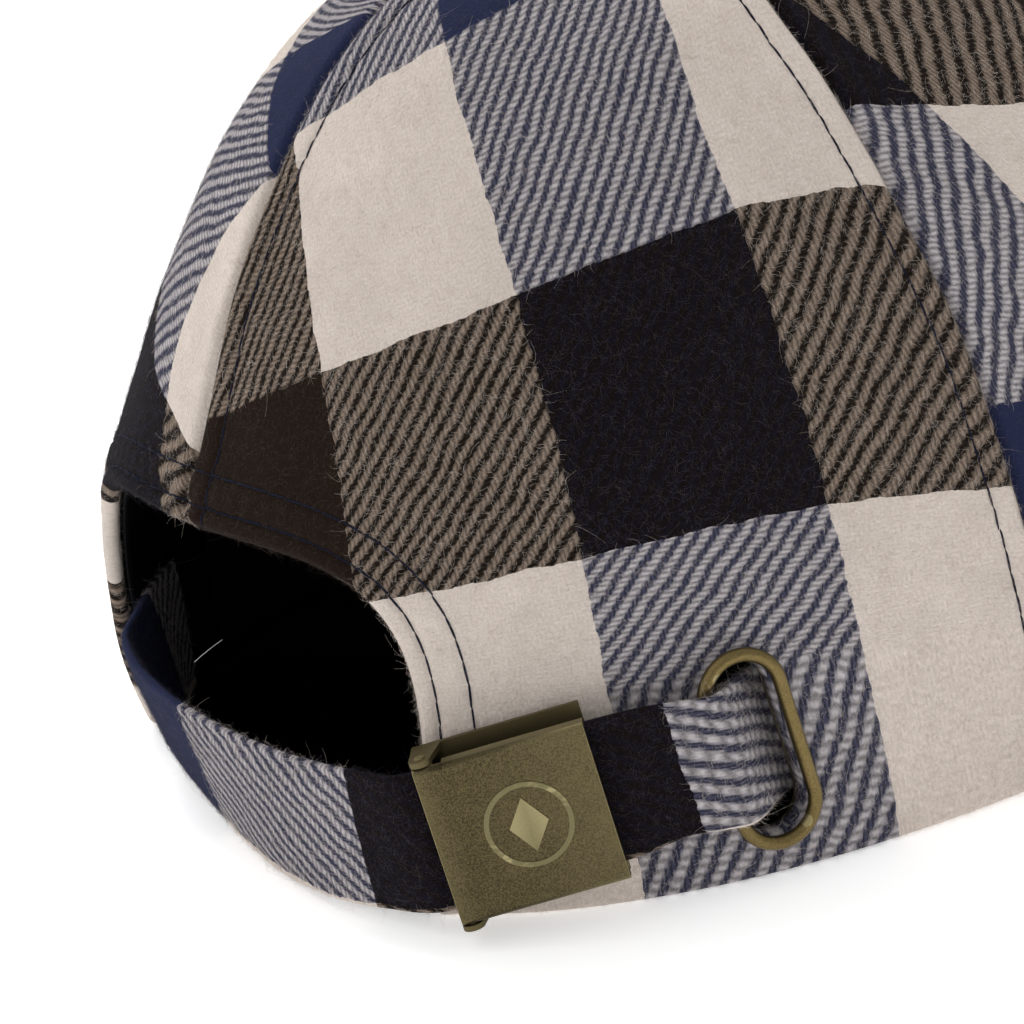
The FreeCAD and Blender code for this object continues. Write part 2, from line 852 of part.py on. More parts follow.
def make_washer():
    """The flat oval half of the ring, behind the cloth."""
    body = new_body("slot_ring_washer")
    rim = size("washer_rim")
    half_width = size("ring_width") / 2.0 - size("ring_wire") + 0.3
    half_height = size("ring_height") / 2.0 - size("ring_wire") + 0.3
    sketch = new_sketch(body, "washer_outline", "XZ_Plane", "-sizes.washer_depth")
    draw_stadium(sketch, half_width, half_height)
    draw_stadium(sketch, half_width + rim, half_height + rim)
    add_pad(body, sketch, "washer_plate", "sizes.washer_sheet", reverse=True)
    body.Placement = ring_placement()
    return body


def make_slot_tool():
    """The oval that is cut through the cloth inside the ring."""
    body = new_body("slot_tool")
    half_width = size("ring_width") / 2.0 - size("ring_wire")
    half_height = size("ring_height") / 2.0 - size("ring_wire")
    sketch = new_sketch(body, "slot_outline", "XZ_Plane")
    draw_stadium(sketch, half_width, half_height)
    add_pad(body, sketch, "slot_prism", "10 * sizes.cloth", midplane=True)
    body.Placement = ring_placement()
    return body


# ---------------------------------------------------------------- strap


def strap_station(frame, width):
    """The four corners of the strap's section in a frame: outer low, outer high, inner high, inner low."""
    half = width / 2.0
    thick = size("strap_cloth") / 2.0
    corners = [(-thick, -half), (-thick, half), (thick, half), (thick, -half)]
    return [frame.multVec(Vector(0, y, z)) for y, z in corners]


def strap_stations():
    """All sections of the strap from its sewn end to its tail."""
    stations = []
    wide = size("strap_width")
    held = size("strap_held_width")
    tail = size("strap_tail_width")
    for index, (distance, z, depth, tilt) in enumerate(STRAP_START):
        easing = smooth_step((index - 8) / 4.0)
        frame = crown_placement(tau_at(distance), z, tilt)
        frame = frame.multiply(Placement(Vector(0, depth, 0), Rotation()))
        stations.append(strap_station(frame, wide + (held - wide) * easing))
    in_buckle = -size("cover_stand") + 2 * size("barrel_radius") + 0.12 + size("strap_cloth") / 2.0
    for x in STRAP_IN_BUCKLE:
        frame = buckle_placement().multiply(Placement(Vector(x, in_buckle, 0), Rotation()))
        stations.append(strap_station(frame, held))
    ring = distance_of(size("ring_angle"))
    for distance, z, depth, tilt in STRAP_END:
        frame = crown_placement(tau_at(ring + distance), z, tilt)
        slope = tail_slope(distance)
        turn = Rotation(Vector(0, 0, 1), slope)
        frame = frame.multiply(Placement(Vector(0, depth, 0), turn))
        stations.append(strap_station(frame, tail))
    return stations


def tail_slope(distance):
    """How steeply the tail dives into the ring, in degrees, at a distance from the ring's centre."""
    steepest = 46.0
    middle = -0.3
    spread = 4.4
    return steepest * math.exp(-(((distance - middle) / spread) ** 4))


def make_strap():
    """The strap: four ruled faces between smooth corner lines, and two ends."""
    stations = strap_stations()
    lines = []
    for corner in range(4):
        curve = Part.BSplineCurve()
        curve.interpolate([station[corner] for station in stations])
        lines.append(curve.toShape())
    faces = [Part.makeRuledSurface(lines[i], lines[(i + 1) % 4]) for i in range(4)]
    for station in (stations[0], stations[-1]):
        edges = [Part.makeLine(station[i], station[(i + 1) % 4]) for i in range(4)]
        faces.append(Part.Face(Part.Wire(edges)))
    shell = Part.makeShell(faces)
    shell.sewShape()
    solid = Part.makeSolid(Part.Shell(shell.Faces))
    if solid.Volume < 0:
        solid.reverse()
    return add_shape("strap", solid)


# ---------------------------------------------------------------- button


def add_turned(body, name, outline):
    """A revolution about the Z axis of an outline in the XZ plane."""
    sketch = new_sketch(body, name + "_outline", "XZ_Plane")
    for geometry in outline:
        sketch.addGeometry(geometry, False)
    turned = body.newObject("PartDesign::Revolution", name + "_turned")
    turned.Profile = sketch
    turned.ReferenceAxis = (sketch, ["V_Axis"])
    turned.Angle = 360.0
    return turned


def dome_outline(outer, thickness, middle, foot):
    """The section of a domed shell: two arcs about one centre, the rim's foot and the axis."""
    up = Vector(0, 0, 1)
    centre = Vector(0, middle, 0)
    feet = []
    pieces = []
    for radius in (outer, outer - thickness):
        start = math.asin((foot - middle) / radius)
        pieces.append(Part.ArcOfCircle(Part.Circle(centre, up, radius), start, math.pi / 2))
        feet.append(Vector(radius * math.cos(start), foot, 0))
    tops = [Vector(0, middle + outer - thickness, 0), Vector(0, middle + outer, 0)]
    pieces.append(Part.LineSegment(*feet))
    pieces.append(Part.LineSegment(*tops))
    return pieces


def make_button():
    """The covered button: a cloth dome over a metal dome, and the prong that clinches it."""
    apex = Placement(Vector(0, size("apex_shift"), size("crown_height")), Rotation())
    cloth = size("button_cloth")
    metal = size("button_metal")
    foot = size("button_gap")
    radius = size("button_radius")
    height = size("button_height")
    ball = (radius * radius + height * height) / (2.0 * height)
    middle = foot + height - ball
    slack = size("button_slack")
    cap_ball = ball - cloth - slack
    cover = new_body("button_cover")
    add_turned(cover, "button_cover", dome_outline(ball, cloth, middle, foot))
    cap = new_body("button_cap")
    add_turned(cap, "button_cap", dome_outline(cap_ball, metal, middle, foot))
    prong = new_body("button_prong")
    top = middle + cap_ball - metal - 3 * slack
    add_turned(prong, "button_prong", prong_outline(top))
    for body in (cover, cap, prong):
        body.Placement = apex
    return [cover, cap, prong]


def prong_outline(top):
    """The section of the prong: a head plate under the dome, a stem and a flared foot."""
    stem = size("prong_radius")
    flare = size("prong_flare")
    drop = size("prong_drop")
    foot_plate = size("prong_plate")
    points = [
        (0, top),
        (stem, top),
        (stem, -drop),
        (flare, -drop),
        (flare, -drop - foot_plate),
        (0, -drop - foot_plate),
    ]
    corners = [Vector(x, y, 0) for x, y in points]
    return [Part.LineSegment(a, b) for a, b in zip(corners, corners[1:] + corners[:1])]


# ---------------------------------------------------------------- assembly


def make_crown():
    """The six panels, with the arch cut from the back pair and the slot from the right one."""
    arch = make_arch_tool("arch_tool", 0.0)
    back = size("back_seam")
    front = size("front_seam")
    right_gore = make_panel("right_back_gore", 0.0, back)
    left_gore = make_panel("left_back_gore", -back, 0.0)
    arched = make_cut("right_back_arched", right_gore, arch)
    return [
        make_cut("crown_panel_back_right", arched, make_slot_tool()),
        make_cut("crown_panel_back_left", left_gore, arch),
        make_panel("crown_panel_side_right", back, front),
        make_panel("crown_panel_side_left", -front, -back),
        make_panel("crown_panel_front_right", front, 180.0),
        make_panel("crown_panel_front_left", -180.0, -front),
    ]


def make_tapes():
    """A tape inside each of the six crown seams."""
    back = size("back_seam")
    front = size("front_seam")
    seams = {
        "back": 0.0,
        "right_back": back,
        "right_front": front,
        "front": 180.0,
        "left_front": -front,
        "left_back": -back,
    }
    tapes = []
    for side, seam in seams.items():
        start = rim_height(seam) + size("tape_start")
        if side == "back":
            start += size("arch_height") + size("facing_width") + 1.0
        tapes.append(make_tape("seam_tape_" + side, seam, start))
    return tapes


def check(node):
    """Stops the build if a node is not one or more valid, closed solids."""
    shape = node.Shape
    if shape.isNull() or not shape.isValid() or not shape.Solids:
        raise RuntimeError(node.Label + " has no valid solid")
    if not all(solid.isClosed() for solid in shape.Solids):
        raise RuntimeError(node.Label + " is not closed")


def main():
    """Builds every node and writes each one's STEP file."""
    nodes = make_crown()
    nodes.append(make_facing())
    nodes.extend(make_tapes())
    nodes.append(make_sweatband())
    nodes.extend(make_visor())
    nodes.extend(make_button())
    nodes.append(make_strap())
    nodes.extend([make_buckle_frame(), make_buckle_cover(), make_buckle_pin(), make_buckle_tab()])
    nodes.extend([make_slot_ring(), make_washer()])
    DOC.recompute()
    for item in DOC.Objects:
        if "Invalid" in item.State or "Error" in item.State:
            raise RuntimeError(item.Label + " failed: " + ", ".join(item.State))
    os.makedirs("parts", exist_ok=True)
    for node in nodes:
        check(node)
        node.Shape.exportStep("parts/%s.step" % node.Label)
        print("%-26s %9.1f mm3" % (node.Label, node.Shape.Volume))
    origin = buckle_placement()
    pin_x, pin_y = pin_place()
    print("buckle hinge point", origin.multVec(Vector(pin_x, pin_y, 0)))
    print("buckle hinge axis", origin.Rotation.multVec(Vector(0, 0, 1)))


main()
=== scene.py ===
"""Looks of a six-panel plaid wool cap with a rear strap, a flip buckle and an oval slot ring.

Lengths inside the classes are millimetres and become metres when a mesh is made. The frame is
the part's own: +Z up, the visor along -Y, the arched opening at +Y, the wearer's right at -X.
The crown is a formula of tau, the angle round the head from the centre back, and the height z.
"""

import json
import logging
import math
from dataclasses import dataclass
from enum import Enum
from typing import Any, Iterable, Optional, Sequence, Union

import bmesh
import bpy
import numpy as np
from mathutils import Matrix, Vector


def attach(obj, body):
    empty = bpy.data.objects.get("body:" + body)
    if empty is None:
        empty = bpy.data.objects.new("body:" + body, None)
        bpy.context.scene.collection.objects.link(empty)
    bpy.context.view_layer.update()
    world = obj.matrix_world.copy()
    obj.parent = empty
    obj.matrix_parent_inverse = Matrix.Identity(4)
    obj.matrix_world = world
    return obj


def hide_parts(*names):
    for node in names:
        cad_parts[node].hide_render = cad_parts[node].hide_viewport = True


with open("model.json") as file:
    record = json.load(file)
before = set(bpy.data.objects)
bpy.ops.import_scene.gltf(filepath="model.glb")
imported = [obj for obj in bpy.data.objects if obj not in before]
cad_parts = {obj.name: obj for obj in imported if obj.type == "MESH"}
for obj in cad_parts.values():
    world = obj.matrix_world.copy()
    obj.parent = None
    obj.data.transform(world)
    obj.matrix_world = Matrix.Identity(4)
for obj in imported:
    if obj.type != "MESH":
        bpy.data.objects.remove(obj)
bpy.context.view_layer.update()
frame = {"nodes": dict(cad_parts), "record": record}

LOG = logging.getLogger("cap")
MM = 0.001
CROWN_BODY = "cap"
COVER_BODY = "flip_cover"

Array = np.ndarray


# ------------------------------------------------------------------ small maths


def smooth_step(x: Array) -> Array:
    """Rises smoothly from 0 to 1 as x goes from 0 to 1."""
    x = np.clip(x, 0.0, 1.0)
    return x * x * (3.0 - 2.0 * x)


def wrap(tau: Array) -> Array:
    """Brings angles into the range -180 to 180 degrees."""
    return (np.asarray(tau, float) + 180.0) % 360.0 - 180.0


def bell(x: Array, width: float) -> Array:
    """A bump of height 1 at 0 that is nearly gone at twice its width."""
    return np.exp(-((x / width) ** 2))


def unit(vectors: Array) -> Array:
    """Scales vectors to length 1."""
    length = np.linalg.norm(vectors, axis=-1, keepdims=True)
    return vectors / np.maximum(length, 1e-9)


def run_of(points: Array) -> Array:
    """The distance along a line of points, from its first one."""
    steps = np.linalg.norm(np.diff(points, axis=0), axis=1)
    return np.concatenate([[0.0], np.cumsum(steps)])


def read_along(rows: Array, run: Array, wanted: Array) -> Array:
    """Rows of numbers at wanted places between the ones noted along a run."""
    return np.stack([np.interp(wanted, run, column) for column in rows.T], axis=-1)


def resample(points: Array, parameters: Array) -> Array:
    """Points at given shares of the length of a line.

    Args:
        points: The line, one row per point.
        parameters: Shares of its length, from 0 to 1.

    Returns:
        One row per parameter.
    """
    run = run_of(points)
    return read_along(points, run, parameters * run[-1])


def crowded_steps(count: int, crowding: float = 4.0) -> Array:
    """Shares from 0 to 1 that lie closer together near both ends."""
    middle = np.linspace(0.0, 1.0, 2001)
    density = 1.0 + (crowding - 1.0) * (bell(middle, 0.07) + bell(middle - 1.0, 0.07))
    run = np.concatenate([[0.0], np.cumsum((density[1:] + density[:-1]) / 2.0)])
    return np.interp(np.linspace(0.0, run[-1], count), run, middle)


# ------------------------------------------------------------------ meshes


def grid_faces(rows: int, columns: int) -> list:
    """Quads of a grid of points that are numbered row by row."""
    corners = np.arange(rows * columns).reshape(rows, columns)
    quads = (corners[:-1, :-1], corners[:-1, 1:], corners[1:, 1:], corners[1:, :-1])
    return [tuple(quad) for quad in np.stack(quads, axis=-1).reshape(-1, 4).tolist()]


def ring_faces(rings: int, sides: int, closed: bool = False) -> list:
    """Faces of a tube whose points are numbered ring by ring.

    Args:
        rings: The number of rings.
        sides: The number of points in a ring.
        closed: Whether the last ring joins the first one; if not, both ends are capped.

    Returns:
        The faces, as tuples of vertex numbers.
    """
    faces = []
    for ring in range(rings if closed else rings - 1):
        low, high = ring * sides, (ring + 1) % rings * sides
        for side in range(sides):
            beside = (side + 1) % sides
            faces.append((low + side, low + beside, high + beside, high + side))
    if not closed:
        faces += [tuple(range(sides))[::-1], tuple(range((rings - 1) * sides, rings * sides))]
    return faces


def flat_grid(along: Array, across: Array) -> Array:
    """Places on flat cloth for every pair of two lists of distances."""
    return np.stack(np.meshgrid(along, across, indexing="ij"), axis=-1)


def numbers_of(items: Any, name: str, width: int, kind: type = np.float32) -> Array:
    """A named number, or row of numbers, of each item in a mesh's list."""
    values = np.empty(len(items) * width, kind)
    items.foreach_get(name, values)
    return values.reshape(-1, width)


def outline_of(rows: int, columns: int) -> list:
    """Numbers of a grid's outer points, in order round it."""
    ring = [(row, 0) for row in range(rows)]
    ring += [(rows - 1, column) for column in range(1, columns)]
    ring += [(row, columns - 1) for row in range(rows - 2, -1, -1)]
    ring += [(0, column) for column in range(columns - 2, 0, -1)]
    return [row * columns + column for row, column in ring]


def make_object(
    name: str,
    points: Array,
    faces: Sequence,
    materials: Sequence[bpy.types.Material],
    cloth: Optional[Array] = None,
    face_slots: Optional[Sequence[int]] = None,
    merge: float = 0.0,
) -> bpy.types.Object:
    """Makes a smooth mesh object from points in millimetres.

    Args:
        name: The piece's name.
        points: Its vertices.
        faces: Its faces, as tuples of vertex numbers.
        materials: Its material slots.
        cloth: For each vertex, its place on the flat cloth in millimetres.
        face_slots: For each face, the number of its material slot.
        merge: Vertices nearer than this many millimetres become one.

    Returns:
        The new object.
    """
    mesh = bpy.data.meshes.new(name)
    mesh.from_pydata((np.asarray(points) * MM).tolist(), [], list(faces))
    if cloth is not None:
        flat = np.zeros((len(points), 3), np.float32)
        flat[:, :2] = cloth
        lay = mesh.attributes.new("cloth", "FLOAT_VECTOR", "POINT")
        lay.data.foreach_set("vector", flat.ravel())
    for material in materials:
        mesh.materials.append(material)
    if face_slots is not None:
        mesh.polygons.foreach_set("material_index", list(face_slots))
    work = bmesh.new()
    work.from_mesh(mesh)
    if merge > 0.0:
        bmesh.ops.remove_doubles(work, verts=work.verts, dist=merge * MM)
    bmesh.ops.recalc_face_normals(work, faces=work.faces)
    work.to_mesh(mesh)
    work.free()
    mesh.shade_smooth()
    piece = bpy.data.objects.new(name, mesh)
    bpy.context.scene.collection.objects.link(piece)
    return piece


def finish_piece(
    piece: bpy.types.Object, body: str, nodes: Iterable[str] = ()
) -> bpy.types.Object:
    """Lets a piece ride on its body and hides the CAD nodes that it stands for."""
    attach(piece, body)
    nodes = list(nodes)
    if nodes:
        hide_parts(*nodes)
    LOG.info("%-26s %6d faces on %s", piece.name, len(piece.data.polygons), body)
    return piece


def declare_cloth(
    piece: bpy.types.Object, wide: float, long: float
) -> None:
    """Grows the size that a closed sheet of cloth was cut to until it holds the sheet's area, and
    keeps no result.
        wide: The width that it was cut to, in millimetres.
        long: The length that it was cut to.
    """
    area = sum(face.area for face in piece.data.polygons) / 2.0
    room = wide * long * MM * MM
    if area > room:
        grow = math.sqrt(area / room)
        wide, long, room = wide * grow, long * grow, area
    wide * MM
    long * MM


def cloth_sheet(
    name: str,
    middle: Array,
    half: float,
    materials: Sequence[bpy.types.Material],
    flat: Optional[Array] = None,
    edge: float = 0.6,
    raised: Optional[Array] = None,
) -> bpy.types.Object:
    """A closed sheet with round edges, on both sides of a grid of points.

    Args:
        name: The sheet's name.
        middle: The grid of its middle surface.
        half: Half of its thickness.
        materials: Its material slots.
        flat: For each point, its place on the flat cloth.
        edge: How far from its edges the sheet rounds off.
        raised: How far each point of the upper face stands up.

    Returns:
        The sheet.
    """
    rows, columns = middle.shape[:2]
    away = edge_distances(middle)
    near = np.minimum(np.minimum(away["near"], away["far"]), np.minimum(away["low"], away["high"]))
    swell = np.sqrt(np.clip(1.0 - (1.0 - np.minimum(near, edge) / edge) ** 2, 0.03, 1.0))
    across = unit(np.cross(np.gradient(middle, axis=0), np.gradient(middle, axis=1)))
    lift = np.zeros((rows, columns)) if raised is None else raised
    upper = middle + across * (half * swell + lift)[..., None]
    lower = middle - across * (half * swell)[..., None]
    count = rows * columns
    faces = grid_faces(rows, columns)
    faces += [tuple(count + corner for corner in face[::-1]) for face in grid_faces(rows, columns)]
    ring = outline_of(rows, columns)
    faces += [(a, b, count + b, count + a) for a, b in zip(ring, ring[1:] + ring[:1])]
    points = np.concatenate([upper.reshape(-1, 3), lower.reshape(-1, 3)])
    lay = None if flat is None else np.concatenate([flat.reshape(-1, 2)] * 2)
    return make_object(name, points, faces, materials, lay)


def edge_distances(skin: Array) -> dict:
    """How far each point of a grid is from each of its sides."""
    along = np.linalg.norm(np.diff(skin, axis=0), axis=-1)
    up = np.linalg.norm(np.diff(skin, axis=1), axis=-1)
    near = np.concatenate([np.zeros((1, skin.shape[1])), np.cumsum(along, axis=0)])
    low = np.concatenate([np.zeros((skin.shape[0], 1)), np.cumsum(up, axis=1)], axis=1)
    return {"near": near, "far": near[-1] - near, "low": low, "high": low[:, -1:] - low}


def closed_tube(path: Array, radius: float, sides: int, up: Array) -> tuple:
    """The points and faces of a round tube along a closed line in a plane across up."""
    ahead = unit(np.roll(path, -1, axis=0) - np.roll(path, 1, axis=0))
    out = np.cross(ahead, up)
    angle = np.linspace(0.0, 2.0 * math.pi, sides, endpoint=False)
    ring = np.cos(angle)[None, :, None] * out[:, None] + np.sin(angle)[None, :, None] * up
    points = path[:, None] + radius * ring
    return points.reshape(-1, 3), ring_faces(len(path), sides, closed=True)


def prism(outline: Array, low: float, high: float) -> tuple:
    """The points and faces of a closed prism of an outline in x and y, from z low to high."""
    count = len(outline)
    base = np.column_stack([outline, np.full(count, low)])
    top = np.column_stack([outline, np.full(count, high)])
    return np.concatenate([base, top]), ring_faces(2, count)


def joined(parts: Sequence) -> tuple:
    """Several sets of points and faces as one."""
    points, faces, start = [], [], 0
    for part_points, part_faces in parts:
        points.append(part_points)
        faces += [tuple(start + corner for corner in face) for face in part_faces]
        start += len(part_points)
    return np.concatenate(points), faces


def arc_points(middle: Sequence, radius: float, first: float, last: float, count: int) -> Array:
    """Points of an arc in a plane, between two angles in degrees."""
    angle = np.radians(np.linspace(first, last, count))
    x, y = middle[0] + radius * np.cos(angle), middle[1] + radius * np.sin(angle)
    return np.stack([x, y], axis=-1)


def soften_edges(piece: bpy.types.Object, width: float, joint: Optional[float] = None) -> None:
    """Rounds a piece's sharp edges, and keeps its flat faces flat to the eye.

    Args:
        piece: The piece.
        width: How far from an edge the rounding starts, in millimetres.
        joint: Edges in the plane at this x lie in a joint, and stay sharp.
    """
    work = bmesh.new()
    work.from_mesh(piece.data)
    sharp = [edge for edge in work.edges if edge.is_manifold and edge.calc_face_angle(0.0) > 0.6]
    if joint is not None:
        sharp = [edge for edge in sharp if any(abs(v.co.x / MM - joint) > 0.05 for v in edge.verts)]
    bmesh.ops.bevel(work, geom=sharp, offset=width * MM, segments=3, profile=0.6, affect="EDGES",
                    clamp_overlap=True)
    work.to_mesh(piece.data)
    work.free()
    piece.data.shade_smooth()
    even = piece.modifiers.new("even_normals", "WEIGHTED_NORMAL")
    even.keep_sharp = True


def tube(path: Array, radii: Array, sides: int, ups: Array) -> tuple:
    """A tube with closed ends round a line.

    Args:
        path: Points of the middle line.
        radii: The radius at each of them.
        sides: The number of sides of the section.
        ups: A direction at each point that the section's first side faces.

    Returns:
        The tube's points and its faces.
    """
    ahead = unit(np.gradient(path, axis=0))
    right = unit(np.cross(ahead, ups))
    over = np.cross(right, ahead)
    angle = np.linspace(0.0, 2.0 * math.pi, sides, endpoint=False)
    cosine, sine = np.cos(angle)[None, :, None], np.sin(angle)[None, :, None]
    ring = cosine * over[:, None] + sine * right[:, None]
    points = (path[:, None] + radii[:, None, None] * ring).reshape(-1, 3)
    return points, ring_faces(len(path), sides)


# ------------------------------------------------------------------ shader writing


Number = Union[float, int, "Wire"]


class Wire:
    """A value in a shader. Sums and comparisons of wires add Math nodes."""

    def __init__(self, web: "Web", socket: bpy.types.NodeSocket) -> None:
        """Wraps one output socket of a web."""
        self.web = web
        self.socket = socket

    def _maths(self, operation: str, *values: Number) -> "Wire":
        """Adds one Math node for an operation on up to three values."""
        inputs = dict(enumerate(values))
        return self.web.add("ShaderNodeMath", {"operation": operation}, inputs)

    def __add__(self, other: Number) -> "Wire":
        """self + other."""
        return self._maths("ADD", self, other)

    def __radd__(self, other: Number) -> "Wire":
        """other + self."""
        return self._maths("ADD", other, self)

    def __sub__(self, other: Number) -> "Wire":
        """self - other."""
        return self._maths("SUBTRACT", self, other)

    def __rsub__(self, other: Number) -> "Wire":
        """other - self."""
        return self._maths("SUBTRACT", other, self)

    def __mul__(self, other: Number) -> "Wire":
        """self * other."""
        return self._maths("MULTIPLY", self, other)

    def __rmul__(self, other: Number) -> "Wire":
        """other * self."""
        return self._maths("MULTIPLY", other, self)

    def __truediv__(self, other: Number) -> "Wire":
        """self / other."""
        return self._maths("DIVIDE", self, other)

    def fraction(self) -> "Wire":
        """The part after the decimal point."""
        return self._maths("FRACT", self)

    def distance_from(self, other: float) -> "Wire":
        """How far the value is from a number."""
        return self._maths("ABSOLUTE", self - other)

    def wave(self, turns: float = 1.0) -> "Wire":
        """The sine of the value in turns."""
        return self._maths("SINE", self * (2.0 * math.pi * turns))

    def rise(self, low: float, high: float) -> "Wire":
        """0 below low, 1 above high and smooth between."""
        settings = {"interpolation_type": "SMOOTHSTEP"}
        inputs = {"Value": self, "From Min": low, "From Max": high}
        return self.web.add("ShaderNodeMapRange", settings, inputs)


class Web:
    """A material and its nodes."""

    def __init__(self, name: str, shader: dict) -> None:
        """Makes a material with one Principled shader.

        Args:
            name: The material's name.
            shader: Values that hold all over the surface, by socket name.
        """
        self.material = bpy.data.materials.new(name)
        self.material.use_nodes = True
        self.tree = self.material.node_tree
        self.shader = self.tree.nodes["Principled BSDF"]
        for socket, value in shader.items():
            self.shader.inputs[socket].default_value = value

    def add(self, kind: str, settings: dict, inputs: dict, output: Union[int, str] = 0) -> Wire:
        """Adds a node.

        Args:
            kind: The node's type.
            settings: Its properties; "stops" gives a colour ramp's places and colours.
            inputs: Values or wires for its sockets, by name or number.
            output: The output that is wanted.

        Returns:
            That output as a wire.
        """
        node = self.tree.nodes.new(kind)
        for name, value in settings.items():
            if name == "stops":
                self._set_stops(node.color_ramp, value)
            else:
                setattr(node, name, value)
        for name, value in inputs.items():
            if isinstance(value, Wire):
                self.tree.links.new(value.socket, node.inputs[name])
            else:
                node.inputs[name].default_value = value
        return Wire(self, node.outputs[output])

    @staticmethod
    def _set_stops(ramp: bpy.types.ColorRamp, stops: Sequence) -> None:
        """Gives a ramp unblended stops."""
        ramp.interpolation = "CONSTANT"
        while len(ramp.elements) < len(stops):
            ramp.elements.new(0.5)
        for element, (place, colour) in zip(ramp.elements, stops):
            element.position = place
            element.color = colour

    def feed(self, socket: str, wire: Wire) -> None:
        """Leads a wire to one of the shader's sockets."""
        self.tree.links.new(wire.socket, self.shader.inputs[socket])

    def mix(self, share: Number, first: Any, second: Any, blend: str = "MIX") -> Wire:
        """Mixes two colours."""
        settings = {"data_type": "RGBA", "blend_type": blend}
        inputs = {0: share, 6: self.colour(first), 7: self.colour(second)}
        return self.add("ShaderNodeMix", settings, inputs, 2)

    @staticmethod
    def colour(value: Any) -> Any:
        """A colour with its fourth number, or the wire itself."""
        return value if isinstance(value, Wire) else (*value, 1.0)

    def scaled(self, colour: Any, share: Wire) -> Wire:
        """A colour times a value."""
        grey = self.add("ShaderNodeCombineColor", {}, {0: share, 1: share, 2: share})
        return self.mix(1.0, colour, grey, "MULTIPLY")

    def noise(self, vector: Wire, scale: float, detail: float = 2.0, output: str = "Fac") -> Wire:
        """Soft noise over a vector."""
        inputs = {"Vector": vector, "Scale": scale, "Detail": detail}
        return self.add("ShaderNodeTexNoise", {}, inputs, output)

    def parts(self, vector: Wire) -> tuple:
        """The three numbers of a vector."""
        first = self.add("ShaderNodeSeparateXYZ", {}, {0: vector})
        return tuple(Wire(self, socket) for socket in first.socket.node.outputs)

    def attribute(self, name: str, output: str = "Vector") -> Wire:
        """A value that the mesh carries."""
        return self.add("ShaderNodeAttribute", {"attribute_name": name}, {}, output)

    def object_place(self) -> Wire:
        """The place on the object, in metres."""
        return self.add("ShaderNodeTexCoord", {}, {}, "Object")

    def relief(self, height: Wire, depth: float, strength: float = 1.0) -> None:
        """Feeds a bump of a depth in metres to the shader's normal."""
        inputs = {"Height": height, "Distance": depth, "Strength": strength}
        self.feed("Normal", self.add("ShaderNodeBump", {}, inputs))


# ------------------------------------------------------------------ finishes


